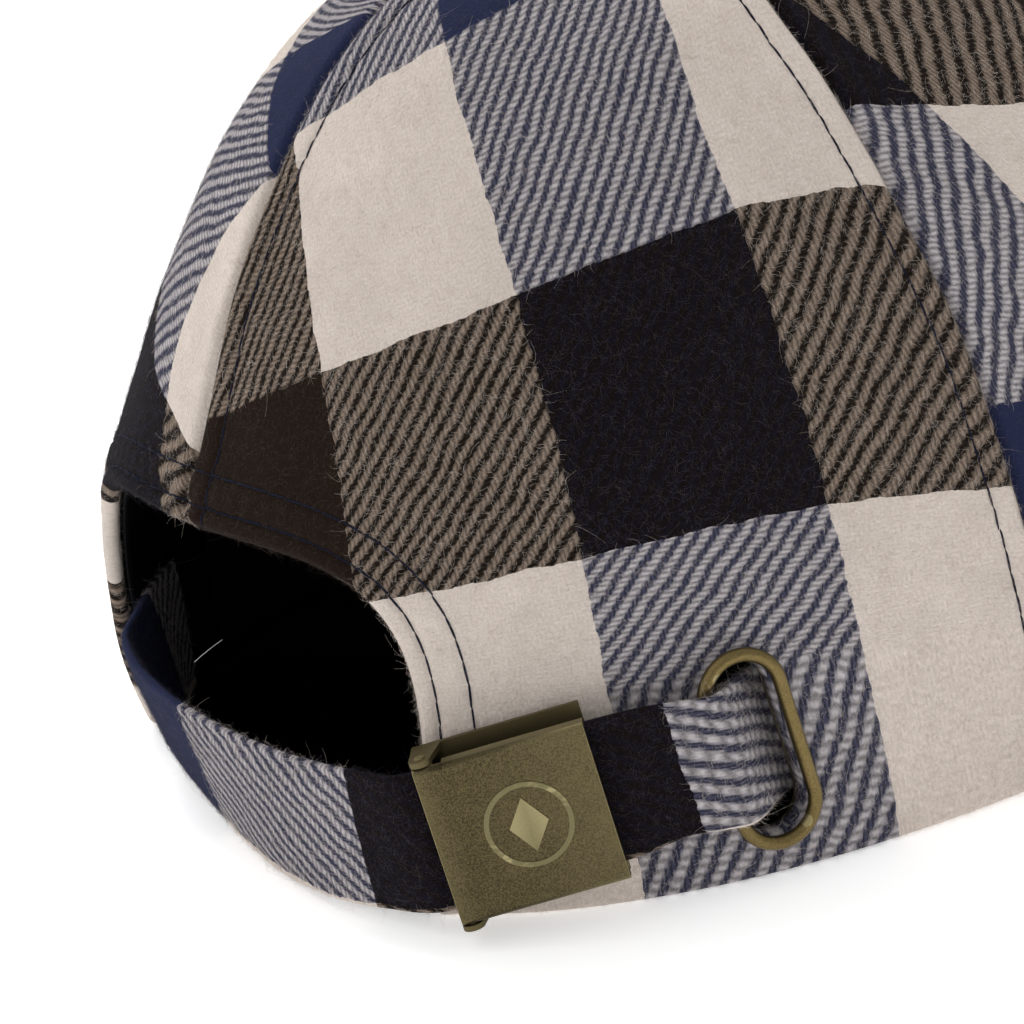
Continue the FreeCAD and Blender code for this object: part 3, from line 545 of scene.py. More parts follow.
@dataclass(frozen=True)
class PlaidWool:
    """Brushed 2/2 wool twill in a large check. The sett's stripes are in millimetres."""

    cream: tuple = (0.635, 0.560, 0.503)
    navy: tuple = (0.018, 0.023, 0.060)
    brown: tuple = (0.0140, 0.0080, 0.0052)
    cool: tuple = (0.95, 1.0, 1.14)
    warm: tuple = (1.12, 0.97, 0.84)
    cream_tone: float = 1.0
    brown_tone: float = 0.2
    navy_tone: float = 0.0
    warp_stripe: float = 26.0
    weft_stripe: float = 36.0
    end: float = 0.535
    pick: float = 0.715
    wander: float = 1.1
    softness: float = 0.26
    felting: float = 0.17
    crossing_shade: float = 0.36
    brown_shade: float = 0.37
    dark_shade: float = 0.22
    hidden_warp: float = 0.8

    def web(self, name: str = "plaid_wool") -> bpy.types.Material:
        """Writes the material."""
        web = Web(name, {"Roughness": 0.95, "Specular IOR Level": 0.04, "Sheen Weight": 0.02,
                         "Sheen Roughness": 0.6, "Sheen Tint": (0.85, 0.85, 0.9, 1.0)})
        lay = web.attribute("cloth")
        across, along, _ = web.parts(lay)
        slow = web.parts(web.noise(lay, 0.22, 1.0, "Color"))
        quick = web.parts(web.noise(lay, 1.3, 1.0, "Color"))
        across = across + (slow[0] - 0.5) * self.wander + (quick[0] - 0.5) * 0.42
        along = along + (slow[1] - 0.5) * self.wander + (quick[1] - 0.5) * 0.42
        ends = across / self.end
        picks = along / self.pick
        stair = (ends - ends.wave() * 0.12) - (picks - picks.wave() * 0.10)
        ridge = ((stair / 4.0).fraction()).distance_from(0.5) * 2.0
        warp_up = ridge.rise(0.5 - self.softness, 0.5 + self.softness)
        order = ["cream", "navy", "cream", "brown"]
        weft_order = order[3:] + order[:3]
        warp, warp_tone = self._stripes(web, across / (4.0 * self.warp_stripe), order)
        weft, weft_tone = self._stripes(web, along / (4.0 * self.weft_stripe), weft_order)
        crossed = (warp_tone - weft_tone).distance_from(0.0).rise(0.05, 0.15)
        dark = 1.0 - (warp_tone + weft_tone).rise(0.5, 0.9)
        brownish = (warp_tone + weft_tone).rise(1.05, 1.15)
        shown = warp_up * (1.0 - crossed * dark * self.hidden_warp)
        woven = web.mix(shown, weft, warp)
        loose = self.felting * (1.0 - brownish * 0.5)
        felted = web.mix(loose, woven, web.mix(0.5, weft, warp))
        tint = web.mix(brownish, self.cool, self.warm)
        felted = web.mix(crossed * (1.0 - dark), felted, web.mix(1.0, felted, tint, "MULTIPLY"))
        warp_round = (ends + 0.25).wave() * 0.5 + 0.5
        weft_round = (picks + 0.25).wave() * 0.5 + 0.5
        yarn = warp_up * warp_round + (1.0 - warp_up) * weft_round
        fibre = web.noise(lay, 3.2, 3.0)
        hairs = web.noise(lay, 9.0, 2.0)
        cloud = web.noise(lay, 0.09, 2.0)
        # Painted shade of the round yarns: lighter along each yarn's middle and darker between
        # yarns, strongest on light floats across dark stripes.
        float_shade = (yarn - 0.5) * (crossed * (1.0 - dark) * 0.75 + 0.07)
        shade = float_shade + (fibre - 0.5) * 0.55 + (hairs - 0.5) * 0.45 + (cloud - 0.5) * 0.2 + 1.0
        depth = brownish * self.brown_shade + dark * self.dark_shade + self.crossing_shade
        shade = shade * (1.0 - crossed * depth)
        web.feed("Base Color", web.scaled(felted, shade))
        relief = yarn * 0.22 + fibre * 0.8 + hairs * 0.5 + ridge.distance_from(0.5) * 0.4
        web.relief(relief, 0.00020, 0.7)
        return web.material

    def _stripes(self, web: Web, place: Wire, order: Sequence[str]) -> tuple:
        """The colour of one set of threads at a place in the sett, and its tone."""
        stops = []
        for number, thread in enumerate(order):
            stops.append((number / 4.0, (*getattr(self, thread), getattr(self, thread + "_tone"))))
        ramp = web.add("ShaderNodeValToRGB", {"stops": stops}, {"Fac": place.fraction()}, "Color")
        return ramp, Wire(web, ramp.socket.node.outputs["Alpha"])

    def thread_colours(self, across: Array, along: Array) -> tuple:
        """The warp's and the weft's colour at places on the cloth, for the loose fibres."""
        warps = np.array([self.cream, self.navy, self.cream, self.brown])
        wefts = np.array([self.brown, self.cream, self.navy, self.cream])
        warp = np.floor(across / self.warp_stripe).astype(int) % 4
        weft = np.floor(along / self.weft_stripe).astype(int) % 4
        return warps[warp], wefts[weft]


@dataclass(frozen=True)
class AntiqueBrass:
    """Dull brass, speckled dark in its hollows, and brighter along its edges: partly rubbed wear,
    partly a painted highlight.
    """

    metal: tuple = (0.098, 0.079, 0.039)
    tarnish: tuple = (0.030, 0.023, 0.012)
    # Colour of sharp edges and bends: rubbed brass and a painted highlight.
    edge_wear_and_highlight: tuple = (0.34, 0.29, 0.15)
    roughness: float = 0.40
    speckle: float = 0.7
    grain_scale: float = 5200.0
    blotch_scale: float = 420.0
    scratch_scale: tuple = (1500.0, 1500.0, 7000.0)

    def web(self, name: str) -> bpy.types.Material:
        """Writes the material."""
        web = Web(name, {"Metallic": 1.0, "Specular IOR Level": 0.5})
        place = web.object_place()
        grain = web.noise(place, self.grain_scale, 4.0)
        blotch = web.noise(place, self.blotch_scale, 3.0)
        inputs = {0: place, 1: self.scratch_scale}
        drawn_out = web.add("ShaderNodeVectorMath", {"operation": "MULTIPLY"}, inputs)
        scratch = web.noise(drawn_out, 1.0, 2.0)
        dark = grain.rise(0.40, 0.60) * self.speckle + (blotch - 0.5) * 0.5 + (scratch - 0.5) * 0.35
        base = web.mix(dark, self.metal, self.tarnish)
        # Sharp edges and bends are lightened: partly rubbed wear, partly a painted highlight along
        # the bends.
        corner = web.add("ShaderNodeNewGeometry", {}, {}, "Pointiness").rise(0.515, 0.57)
        web.feed("Base Color", web.mix(corner * 0.75, base, self.edge_wear_and_highlight))
        web.feed("Roughness", grain * 0.16 + (scratch - 0.5) * 0.2 + self.roughness)
        web.relief(grain * 0.6 + scratch * 0.6, 0.00003, 0.5)
        return web.material


@dataclass(frozen=True)
class BlackTwill:
    """Fine black cotton twill or tape. The rib's pitch is in metres."""

    colour: tuple = (0.0042, 0.0042, 0.0055)
    rib: float = 0.0007

    def web(self, name: str) -> bpy.types.Material:
        """Writes the material."""
        web = Web(name, {"Roughness": 0.95, "Specular IOR Level": 0.08})
        place = web.object_place()
        x, y, z = web.parts(place)
        ribs = ((x + y + z) / self.rib).wave() * 0.5 + 0.5
        fibre = web.noise(place, 1800.0, 2.0)
        web.feed("Base Color", web.scaled(self.colour, ribs * 0.4 + fibre * 0.6 + 0.5))
        web.relief(ribs + fibre * 0.5, 0.00008, 0.6)
        return web.material


@dataclass(frozen=True)
class SewingThread:
    """Twisted navy polyester thread."""

    colour: tuple = (0.008, 0.010, 0.024)

    def web(self, name: str) -> bpy.types.Material:
        """Writes the material."""
        web = Web(name, {"Roughness": 0.8, "Specular IOR Level": 0.12})
        place = web.object_place()
        x, y, z = web.parts(place)
        twist = ((x * 1.0 + y * 1.6 + z * 2.3) / 0.0006).wave() * 0.5 + 0.5
        web.feed("Base Color", web.scaled(self.colour, twist * 0.9 + 0.5))
        web.relief(twist, 0.00005, 0.8)
        return web.material


@dataclass(frozen=True)
class PlainStock:
    """A plain sheet or plate inside the cap, with a fine grain."""

    colour: tuple
    metallic: float
    roughness: float

    def web(self, name: str) -> bpy.types.Material:
        """Writes the material."""
        web = Web(name, {"Metallic": self.metallic})
        grain = web.noise(web.object_place(), 900.0, 3.0)
        web.feed("Base Color", web.scaled(self.colour, grain * 0.3 + 0.85))
        web.feed("Roughness", grain * 0.2 + self.roughness)
        return web.material


class Finishes:
    """Every material of the cap, made once."""

    def __init__(self) -> None:
        """Writes the materials."""
        self.wool = PlaidWool()
        self.plaid = self.wool.web()
        self.brass = AntiqueBrass().web("antique_brass")
        self.ring_brass = AntiqueBrass(
            metal=(0.185, 0.137, 0.056), tarnish=(0.08, 0.06, 0.025), speckle=0.45, roughness=0.33
        ).web("ring_brass")
        # The same brass darkened for the buckle frame: painted shade standing for the dark gap
        # under the cover.
        self.painted_shade_brass = AntiqueBrass(
            metal=(0.030, 0.024, 0.012), tarnish=(0.012, 0.009, 0.005),
            edge_wear_and_highlight=(0.16, 0.13, 0.065), roughness=0.5,
        ).web("painted_shade_brass")
        self.motif_brass = AntiqueBrass(
            metal=(0.155, 0.137, 0.070), tarnish=(0.105, 0.090, 0.046), speckle=0.3, roughness=0.34
        ).web("motif_brass")
        # Black twill for the panels' inner faces, also used for the black piece that paints the
        # shade inside the cap.
        self.lining_and_shade = BlackTwill().web("black_lining_and_painted_shade")
        self.tape = BlackTwill(colour=(0.006, 0.006, 0.007), rib=0.0009).web("seam_tape_cotton")
        self.band = BlackTwill(colour=(0.007, 0.007, 0.008), rib=0.0011).web("sweatband_twill")
        self.thread = SewingThread().web("navy_thread")
        self.board = PlainStock((0.05, 0.05, 0.052), 0.0, 0.5).web("visor_board_plastic")
        self.steel = PlainStock((0.55, 0.55, 0.56), 1.0, 0.35).web("button_steel")


# ------------------------------------------------------------------ crown


@dataclass
class CrownForm:
    """The crown's outer face, in millimetres, as in the part."""

    half_width: float = 69.5
    back_length: float = 111.5
    front_length: float = 99.0
    fullness: float = 0.09
    height: float = 105.7
    apex_shift: float = 22.7
    power_back: float = 1.15
    power_front: float = 1.75
    roundness: float = 2.5
    squareness: float = 0.05
    tuck: float = 0.061
    tuck_height: float = 40.6
    cinch: float = 12.2
    cinch_height: float = 38.1
    cinch_spread: float = 30.4
    cinch_angle: float = -13.9
    front_lift: float = 27.0
    arch_half_width: float = 36.0
    arch_height: float = 42.3
    arch_exponent: float = 4.0

    def __post_init__(self) -> None:
        """Tabulates lengths up and round the crown, so that cloth can be measured on it."""
        self.angles = np.arange(-180.0, 180.5, 1.0)
        self.shares = np.linspace(0.0, 1.0, 300)
        rise = np.radians(np.linspace(90.0, 0.0, 400))
        heights, lengths = [], []
        for tau in self.angles:
            z = self.height * np.sin(rise) ** (2.0 / self.power(tau))
            run = run_of(self.skin(np.full_like(z, tau), z))
            lengths.append(run[-1])
            heights.append(np.interp(self.shares * run[-1], run, z))
        self.heights = np.array(heights)
        self.lengths = np.array(lengths)
        self.levels = np.linspace(0.0, 105.0, 106)
        self.fine_angles = np.arange(-180.0, 180.25, 0.5)
        arcs = []
        for z in self.levels:
            run = run_of(self.skin(self.fine_angles, np.full_like(self.fine_angles, z)))
            arcs.append(run - np.interp(0.0, self.fine_angles, run))
        self.arcs = np.array(arcs).T

    def power(self, tau: Array) -> Array:
        """The profile's exponent round the head."""
        frontness = ((1.0 - np.cos(np.radians(tau))) / 2.0) ** 3
        return self.power_back + (self.power_front - self.power_back) * frontness

    def rim(self, tau: Array) -> Array:
        """Height of the bottom edge."""
        return self.front_lift * smooth_step((np.abs(wrap(tau)) - 80.0) / 100.0)

    def skin(self, tau: Array, z: Array) -> Array:
        """Points of the outer face."""
        tau = wrap(tau)
        angle = np.radians(tau)
        level = np.clip(z / self.height, 0.0, 1.0)
        share = np.maximum(1.0 - level ** self.power(tau), 0.0) ** (1.0 / self.roundness)
        tuck = np.maximum(1.0 - z / self.tuck_height, 0.0)
        share = share - self.tuck * tuck * tuck
        square = 1.0 + self.squareness * np.sin(2.0 * angle) ** 2
        full = 1.0 + self.fullness * smooth_step((np.abs(tau) - 78.0) / 50.0)
        x = -self.half_width * share * np.sin(angle) * square * full
        length = np.where(np.abs(tau) < 90.0, self.back_length, self.front_length)
        y = self.apex_shift * level**2 + length * share * np.cos(angle) * square
        low = np.maximum(1.0 - z / self.cinch_height, 0.0) ** 1.5
        off = (tau - self.cinch_angle) / self.cinch_spread
        y = y - self.cinch * low * np.exp(-off * off)
        return np.stack([x, y, z * np.ones_like(x)], axis=-1)

    def axes(self, tau: Array, z: Array) -> tuple:
        """Unit vectors along the rim, up the crown and out of it."""
        step = 0.05
        top = np.minimum(z + step, self.height * 0.9999)
        along = unit(self.skin(tau + step, z) - self.skin(tau - step, z))
        up = self.skin(tau, top) - self.skin(tau, np.maximum(z - step, 0.0))
        up = unit(up - along * np.sum(up * along, axis=-1, keepdims=True))
        return along, up, np.cross(along, up)

    def point(self, tau: Array, z: Array, depth: Array) -> Array:
        """Points at a depth inside the outer face."""
        return self.skin(tau, z) - self.axes(tau, z)[2] * np.asarray(depth)[..., None]

    @staticmethod
    def _look_up(table: Array, rows: Array, columns: Array, row: Array, column: Array) -> Array:
        """Reads a table between its evenly spaced entries."""
        i = np.clip((row - rows[0]) / (rows[1] - rows[0]), 0.0, len(rows) - 1.001)
        j = np.clip((column - columns[0]) / (columns[1] - columns[0]), 0.0, len(columns) - 1.001)
        i0, j0 = i.astype(int), j.astype(int)
        a, b = i - i0, j - j0
        low = table[i0, j0] * (1 - b) + table[i0, j0 + 1] * b
        high = table[i0 + 1, j0] * (1 - b) + table[i0 + 1, j0 + 1] * b
        return low * (1 - a) + high * a

    def height_at(self, tau: Array, share: Array) -> Array:
        """The height at a share of the way down from the apex to z = 0."""
        return self._look_up(self.heights, self.angles, self.shares, wrap(tau), share)

    def share_at(self, tau: Array, z: Array) -> Array:
        """The share of the way down from the apex at a height."""
        tau, z = np.broadcast_arrays(np.asarray(tau, float), np.asarray(z, float))
        low, high = np.zeros(tau.shape), np.ones(tau.shape)
        for _ in range(30):
            middle = (low + high) / 2.0
            above = self.height_at(tau, middle) > z
            low = np.where(above, middle, low)
            high = np.where(above, high, middle)
        return (low + high) / 2.0

    def arc(self, tau: Array, z: Array) -> Array:
        """The distance round the crown from the centre back at a height."""
        return self._look_up(self.arcs, self.fine_angles, self.levels, wrap(tau), z)

    def rise_of(self, tau: Array, share: Array) -> Array:
        """The distance up the crown from z = 0."""
        return (1.0 - share) * np.interp(wrap(tau), self.angles, self.lengths)

    def frame(self, tau: float, z: float, tilt: float) -> Matrix:
        """A frame on the outer face: x along it, y into the cap and z up it, tilted in degrees."""
        along, up, out = (axis[0] for axis in self.axes(np.array([tau]), np.array([z])))
        turn = math.radians(tilt)
        rows = np.eye(4)
        rows[:3, 0] = along * math.cos(turn) + up * math.sin(turn)
        rows[:3, 1] = -out
        rows[:3, 2] = up * math.cos(turn) - along * math.sin(turn)
        rows[:3, 3] = self.skin(np.array([tau]), np.array([z]))[0]
        return Matrix(rows.tolist())

    def buckle(self) -> Matrix:
        """The buckle's frame."""
        return self.frame(40.2, 14.3, 12.6)

    def ring(self) -> Matrix:
        """The slot ring's frame."""
        return self.frame(57.4, 16.7, 11.8)

    def tau_at(self, distance: Array, level: float) -> Array:
        """The angle at a distance round the crown from the centre back."""
        angles = self.fine_angles[:-1]
        return np.interp(distance, self.arc(angles, np.full_like(angles, level)), angles)

    def tau_for(self, x: Array, z: Array) -> Array:
        """The angle near the back where the outer face has a sideways place x at the height z."""
        wanted = np.abs(x)
        side = np.where(x > 0.0, -1.0, 1.0)
        low, high = np.zeros(wanted.shape), np.full(wanted.shape, 80.0)
        for _ in range(40):
            middle = (low + high) / 2.0
            short = np.abs(self.skin(side * middle, z)[..., 0]) < wanted
            low = np.where(short, middle, low)
            high = np.where(short, high, middle)
        return side * low

    def arch_line(self, side: int, count: int = 240) -> Array:
        """Half of the arch on the crown, from the centre back down to the leg.

        Args:
            side: 1 for the wearer's right, -1 for the left.
            count: The number of points.

        Returns:
            One row of tau and z for each point.
        """
        angle = np.linspace(math.pi / 2.0, 0.0, count)
        x = self.arch_half_width * np.cos(angle) ** (2.0 / self.arch_exponent)
        z = self.arch_height * np.sin(angle) ** (2.0 / self.arch_exponent)
        return np.stack([self.tau_for(-side * x, z), z], axis=-1)


@dataclass(frozen=True)
class ClothLay:
    """How a panel's cloth lies on the crown.

    A place on the panel is s to the right of its middle and t above its waist, in units of
    30 mm. Each row gives the cloth's place as start, s, t, s*s, s*t, t*t and s*s*t shares.
    """

    across: tuple
    along: tuple

    def place(self, off_middle: Array, rise: Array) -> Array:
        """Places on the flat cloth, in millimetres, for places on the panel."""
        s, t = off_middle / 30.0, (rise - 60.0) / 30.0
        terms = (np.ones_like(s), s, t, s * s, s * t, t * t, s * s * t)
        across = sum(share * term for share, term in zip(self.across, terms))
        along = sum(share * term for share, term in zip(self.along, terms))
        return np.stack([across, along], axis=-1)


class Edge(Enum):
    """What happens at a side of a panel."""

    SEAM = "sewn to its neighbour"
    STITCHED_SEAM = "sewn, with its turnings stitched down on this side"
    FOLD = "turned in along the rim"
    ARCH = "turned in and double stitched round the opening"
    APEX = "gathered under the button"


@dataclass(frozen=True)
class SlotHole:
    """The oval hole through the cloth inside the ring."""

    place: Matrix
    half_width: float = 3.95
    half_height: float = 11.0
    reach: float = 9.0

    def open(self, points: Array) -> tuple:
        """Moves points out of the oval onto its edge.

        Args:
            points: Points of the cloth.

        Returns:
            The moved points, and which of them were inside.
        """
        matrix = np.array(self.place)
        local = (points - matrix[:3, 3]) @ matrix[:3, :3]
        straight = self.half_height - self.half_width
        above = local[:, 2] - np.clip(local[:, 2], -straight, straight)
        nought = np.zeros(len(local))
        middle = np.stack([nought, nought, local[:, 2] - above], axis=-1)
        away = np.stack([local[:, 0], nought, above], axis=-1)
        distance = np.maximum(np.linalg.norm(away, axis=-1), 1e-6)
        gone = (distance < self.half_width) & (np.abs(local[:, 1]) < self.reach)
        edge = middle + away / distance[:, None] * self.half_width
        edge[:, 1] = local[:, 1]
        moved = np.where(gone[:, None], edge, local)
        return moved @ matrix[:3, :3].T + matrix[:3, 3], gone


@dataclass
class Panel:
    """One gore of the crown, meshed between its own edges."""

    node: str
    first: float
    last: float
    lay: ClothLay
    first_edge: Edge
    last_edge: Edge
    arched: int = 0
    across_count: int = 104
    up_count: int = 118
    gap: float = 0.12
    cloth: float = 2.0
    fold: float = 1.0
    seam_stitch: float = 4.0
    arch_stitches: tuple = (2.6, 6.6)
    slot: Optional[SlotHole] = None
    nap: float = 0.4
    crowded_below: float = -20.0
    crowding: float = 0.40
    apex_share: float = 0.022
    waves: tuple = (46.0, 33.0, 24.0, 17.0, 12.0)
    wave_share: float = 0.0042
    seam_sink: float = 0.95
    seam_roll: float = 0.10
    stitched_rise: float = 0.34
    stitched_width: float = 5.2
    arch_rise: float = 0.5
    arch_width: float = 8.4
    stitch_width: float = 0.55
    stitch_pitch: float = 2.7
    turned_hem: float = 1.6

    def build(
        self, form: CrownForm, finishes: Finishes, rng: np.random.Generator
    ) -> bpy.types.Object:
        """Meshes the panel and dresses it.

        Args:
            form: The crown's shape.
            finishes: The materials.
            rng: Source of the cloth's small unevenness.

        Returns:
            The panel.
        """
        tau, z, share = self._places(form)
        self.normals = form.axes(tau, z)[2]
        skin = form.skin(tau, z)
        self.distances = edge_distances(skin)
        raised = self._relief(form, tau, z, rng)
        inner_depth = np.full(tau.shape, self.cloth)
        outer_depth = -raised
        for side, edge in self._edges().items():
            if edge in (Edge.FOLD, Edge.ARCH):
                near = np.clip(self.fold - self.distances[side], 0.0, self.fold)
                turn = self.fold - np.sqrt(self.fold**2 - near**2)
                eased = raised * smooth_step(self.distances[side] / self.fold)
                outer_depth = np.maximum(outer_depth, turn - eased)
                inner_depth = np.minimum(inner_depth, self.cloth - turn)
        self.outer = skin - self.normals * outer_depth[..., None]
        inner = skin - self.normals * inner_depth[..., None]
        middle = (self.first + self.last) / 2.0
        off_middle = form.arc(tau, z) - form.arc(np.full_like(z, middle), z)
        self.flat = self.lay.place(off_middle, form.rise_of(tau, share))
        if self.arched:
            excess = np.minimum(self.flat[..., 1] - self.crowded_below, 0.0)
            self.flat[..., 1] -= excess * (1.0 - self.crowding)
        return self._mesh(inner, finishes)

    def _edges(self) -> dict:
        """What happens at each side of the grid."""
        if self.arched:
            side_seam = self.last_edge if self.arched > 0 else self.first_edge
            centre_seam = self.first_edge if self.arched > 0 else self.last_edge
            return {"low": Edge.ARCH, "high": side_seam, "near": centre_seam, "far": Edge.FOLD}
        return {"low": Edge.FOLD, "high": Edge.APEX, "near": self.first_edge, "far": self.last_edge}

    def _seam_line(self, form: CrownForm, tau: float, inward: int, low: float) -> Array:
        """A seam in the unrolled disc, from its foot to the apex."""
        share = np.linspace(float(form.share_at(tau, low)), self.apex_share, 300)
        z = form.height_at(np.full_like(share, tau), share)
        reach = np.linalg.norm(form.skin(tau + 0.5, z) - form.skin(tau - 0.5, z), axis=-1)
        middle = (self.first + self.last) / 2.0
        seam = tau + inward * self.gap / np.maximum(reach, 0.05)
        seam = seam + (middle - seam) * smooth_step((0.05 - share) / 0.028) * bool(self.arched)
        return self._disc(seam, share)

    @staticmethod
    def _disc(tau: Array, share: Array) -> Array:
        """Points of the unrolled disc: distance from the apex along tau."""
        angle = np.radians(tau)
        return np.stack([share * np.sin(angle), share * np.cos(angle)], axis=-1)

    def _places(self, form: CrownForm) -> tuple:
        """The grid's angles, heights and shares of the way down from the apex."""
        rows, columns = crowded_steps(self.up_count), crowded_steps(self.across_count)
        if self.arched:
            side = self.arched
            outer_seam = self.last if side > 0 else self.first
            arch = form.arch_line(side)
            low = self._disc(arch[:, 0], form.share_at(arch[:, 0], arch[:, 1]))
            near = self._seam_line(form, 0.0, side, form.arch_height)
            high = self._seam_line(form, outer_seam, -side, 0.0)[::-1]
            taus = np.linspace(arch[-1, 0], outer_seam - side * 0.1, 200)
            far = self._disc(taus, form.share_at(taus, np.zeros(200)))
            columns = crowded_steps(self.across_count + 60, 3.0)
        else:
            taus = np.linspace(self.first, self.last, 200)
            low = self._disc(taus, form.share_at(taus, form.rim(taus)))
            high = self._disc(taus, np.full(200, self.apex_share))
            near = self._seam_line(form, self.first, 1, float(form.rim(self.first)))
            far = self._seam_line(form, self.last, -1, float(form.rim(self.last)))
        low, high = resample(low, columns), resample(high, columns)
        near, far = resample(near, rows), resample(far, rows)
        low[0], low[-1], high[0], high[-1] = near[0], far[0], near[-1], far[-1]
        s, t = rows[None, :, None], columns[:, None, None]
        disc = (1 - s) * low[:, None] + s * high[:, None] + (1 - t) * near[None] + t * far[None]
        near_ends, far_ends = ((1 - s) * line[0] + s * line[-1] for line in (near, far))
        disc = disc - ((1 - t) * near_ends + t * far_ends)
        share = np.linalg.norm(disc, axis=-1)
        tau = np.degrees(np.arctan2(disc[..., 0], disc[..., 1]))
        middle = (self.first + self.last) / 2.0
        tau = middle + wrap(tau - middle)
        return tau, form.height_at(tau, share), share

    def _relief(self, form: CrownForm, tau: Array, z: Array, rng: np.random.Generator) -> Array:
        """How far the cloth stands proud of the plain shape."""
        raised = np.zeros(tau.shape)
        along, up = form.arc(tau, z), z
        for size in self.waves:
            turn, phase = rng.uniform(0.0, 2.0 * math.pi, 2)
            wave = (along * math.cos(turn) + up * math.sin(turn)) * 2.0 * math.pi / size
            raised += self.wave_share * size * np.sin(wave + phase)
        stitch_run = {"near": up, "far": up, "low": along, "high": up}
        for side, edge in self._edges().items():
            away = self.distances[side]
            if edge in (Edge.SEAM, Edge.STITCHED_SEAM):
                raised -= self.seam_sink * bell(away, 0.7)
                raised += self.seam_roll * bell(away - 1.8, 1.2)
            if edge is Edge.STITCHED_SEAM:
                raised += self.stitched_rise * smooth_step((self.stitched_width - away) / 1.6)
                raised -= 0.40 * bell(away - self.seam_stitch, self.stitch_width)
                pucker = np.sin(2.0 * math.pi * stitch_run[side] / self.stitch_pitch)
                raised += 0.05 * pucker * bell(away - self.seam_stitch, 1.4)
            if edge is Edge.ARCH:
                raised += self.arch_rise * smooth_step((self.arch_width - away) / 1.8)
                for place in self.arch_stitches:
                    raised -= 0.46 * bell(away - place, self.stitch_width)
                pucker = np.sin(2.0 * math.pi * stitch_run[side] / self.stitch_pitch)
                raised += 0.06 * pucker * bell(away - 4.5, 3.0)
        return raised

    def _mesh(self, inner: Array, finishes: Finishes) -> bpy.types.Object:
        """Joins the outer and inner faces into one closed piece."""
        rows, columns = self.outer.shape[:2]
        points = np.concatenate([self.outer.reshape(-1, 3), inner.reshape(-1, 3)])
        flat = np.concatenate([self.flat.reshape(-1, 2)] * 2)
        count = rows * columns
        outer_faces = grid_faces(rows, columns)
        walls = outline_of(rows, columns)
        walls = list(zip(walls, walls[1:] + walls[:1]))
        if self.slot is not None:
            points, gone = self.slot.open(points)
            kept = [face for face in outer_faces if not all(gone[corner] for corner in face)]
            cut = set(outer_faces) - set(kept)
            inside = {edge for face in cut for edge in zip(face, face[1:] + face[:1])}
            for face in kept:
                for a, b in zip(face, face[1:] + face[:1]):
                    if (b, a) in inside:
                        walls.append((b, a))
            outer_faces = kept
        near_hem = self.distances["low"].ravel() < self.turned_hem
        faces, slots = list(outer_faces), [0] * len(outer_faces)
        for corners in outer_faces:
            slots.append(0 if near_hem[corners[0]] else 1)
            faces.append(tuple(count + corner for corner in corners[::-1]))
        for a, b in walls:
            faces.append((a, b, count + b, count + a))
            slots.append(0)
        materials = [finishes.plaid, finishes.lining_and_shade]
        return make_object(self.node + "_cloth", points, faces, materials, flat, slots, merge=0.002)

    def stitch_lines(self) -> list:
        """The lines that the panel's topstitching follows, each with its normals."""
        lines = []
        for side, edge in self._edges().items():
            if edge is Edge.STITCHED_SEAM:
                lines.append(self._line_at(side, self.seam_stitch))
            if edge is Edge.ARCH:
                lines.extend(self._line_at(side, place) for place in self.arch_stitches)
        return lines

    def _line_at(self, side: str, away: float) -> tuple:
        """The line on the cloth at a distance from one side."""
        points, normals = [], []
        crosses_rows = side in ("near", "far")
        count = self.outer.shape[1] if crosses_rows else self.outer.shape[0]
        for number in range(count):
            pick = (slice(None), number) if crosses_rows else (number, slice(None))
            run = self.distances[side][pick]
            order = np.argsort(run)
            if run[order[-1]] < away + 3.0:
                continue
            line, normal = self.outer[pick][order], self.normals[pick][order]
            points.append(read_along(line, run[order], away))
            normals.append(read_along(normal, run[order], away))
        return np.array(points), unit(np.array(normals))


@dataclass
class Stitching:
    """Rows of lockstitch that lie pressed into the cloth."""

    length: float = 2.75
    radius: float = 0.14
    taper: float = 0.25
    proud: float = 0.04
    sunk: float = 0.11

    def build(
        self, name: str, lines: Sequence, finishes: Finishes, rng: np.random.Generator
    ) -> bpy.types.Object:
        """Sews all lines as one piece.

        Args:
            name: The piece's name.
            lines: Each line's points and normals.
            finishes: The materials.
            rng: Source of the small differences between stitches.

        Returns:
            The stitches.
        """
        parts = []
        for path, normals in lines:
            run = run_of(path)
            place = 0.6
            while place + self.length < run[-1]:
                length = self.length * rng.uniform(0.93, 1.05)
                shares = np.linspace(0.0, 1.0, 7)
                wanted = place + shares * length
                line = read_along(path, run, wanted)
                normal = unit(read_along(normals, run, wanted))
                side = unit(np.cross(np.gradient(line, axis=0), normal))
                arch = self.proud - self.sunk * (2.0 * shares - 1.0) ** 4
                slant = rng.normal(0.0, 0.05) * (2.0 * shares - 1.0) + rng.normal(0.0, 0.03)
                line = line + normal * arch[:, None] + side * slant[:, None]
                radii = self.radius * (1.0 - self.taper * (2.0 * shares - 1.0) ** 6)
                radii = radii * rng.uniform(0.9, 1.1)
                parts.append(tube(line, radii, 6, normal))
                place += length
        piece = make_object(name, *joined(parts), [finishes.thread])
        return finish_piece(piece, CROWN_BODY)


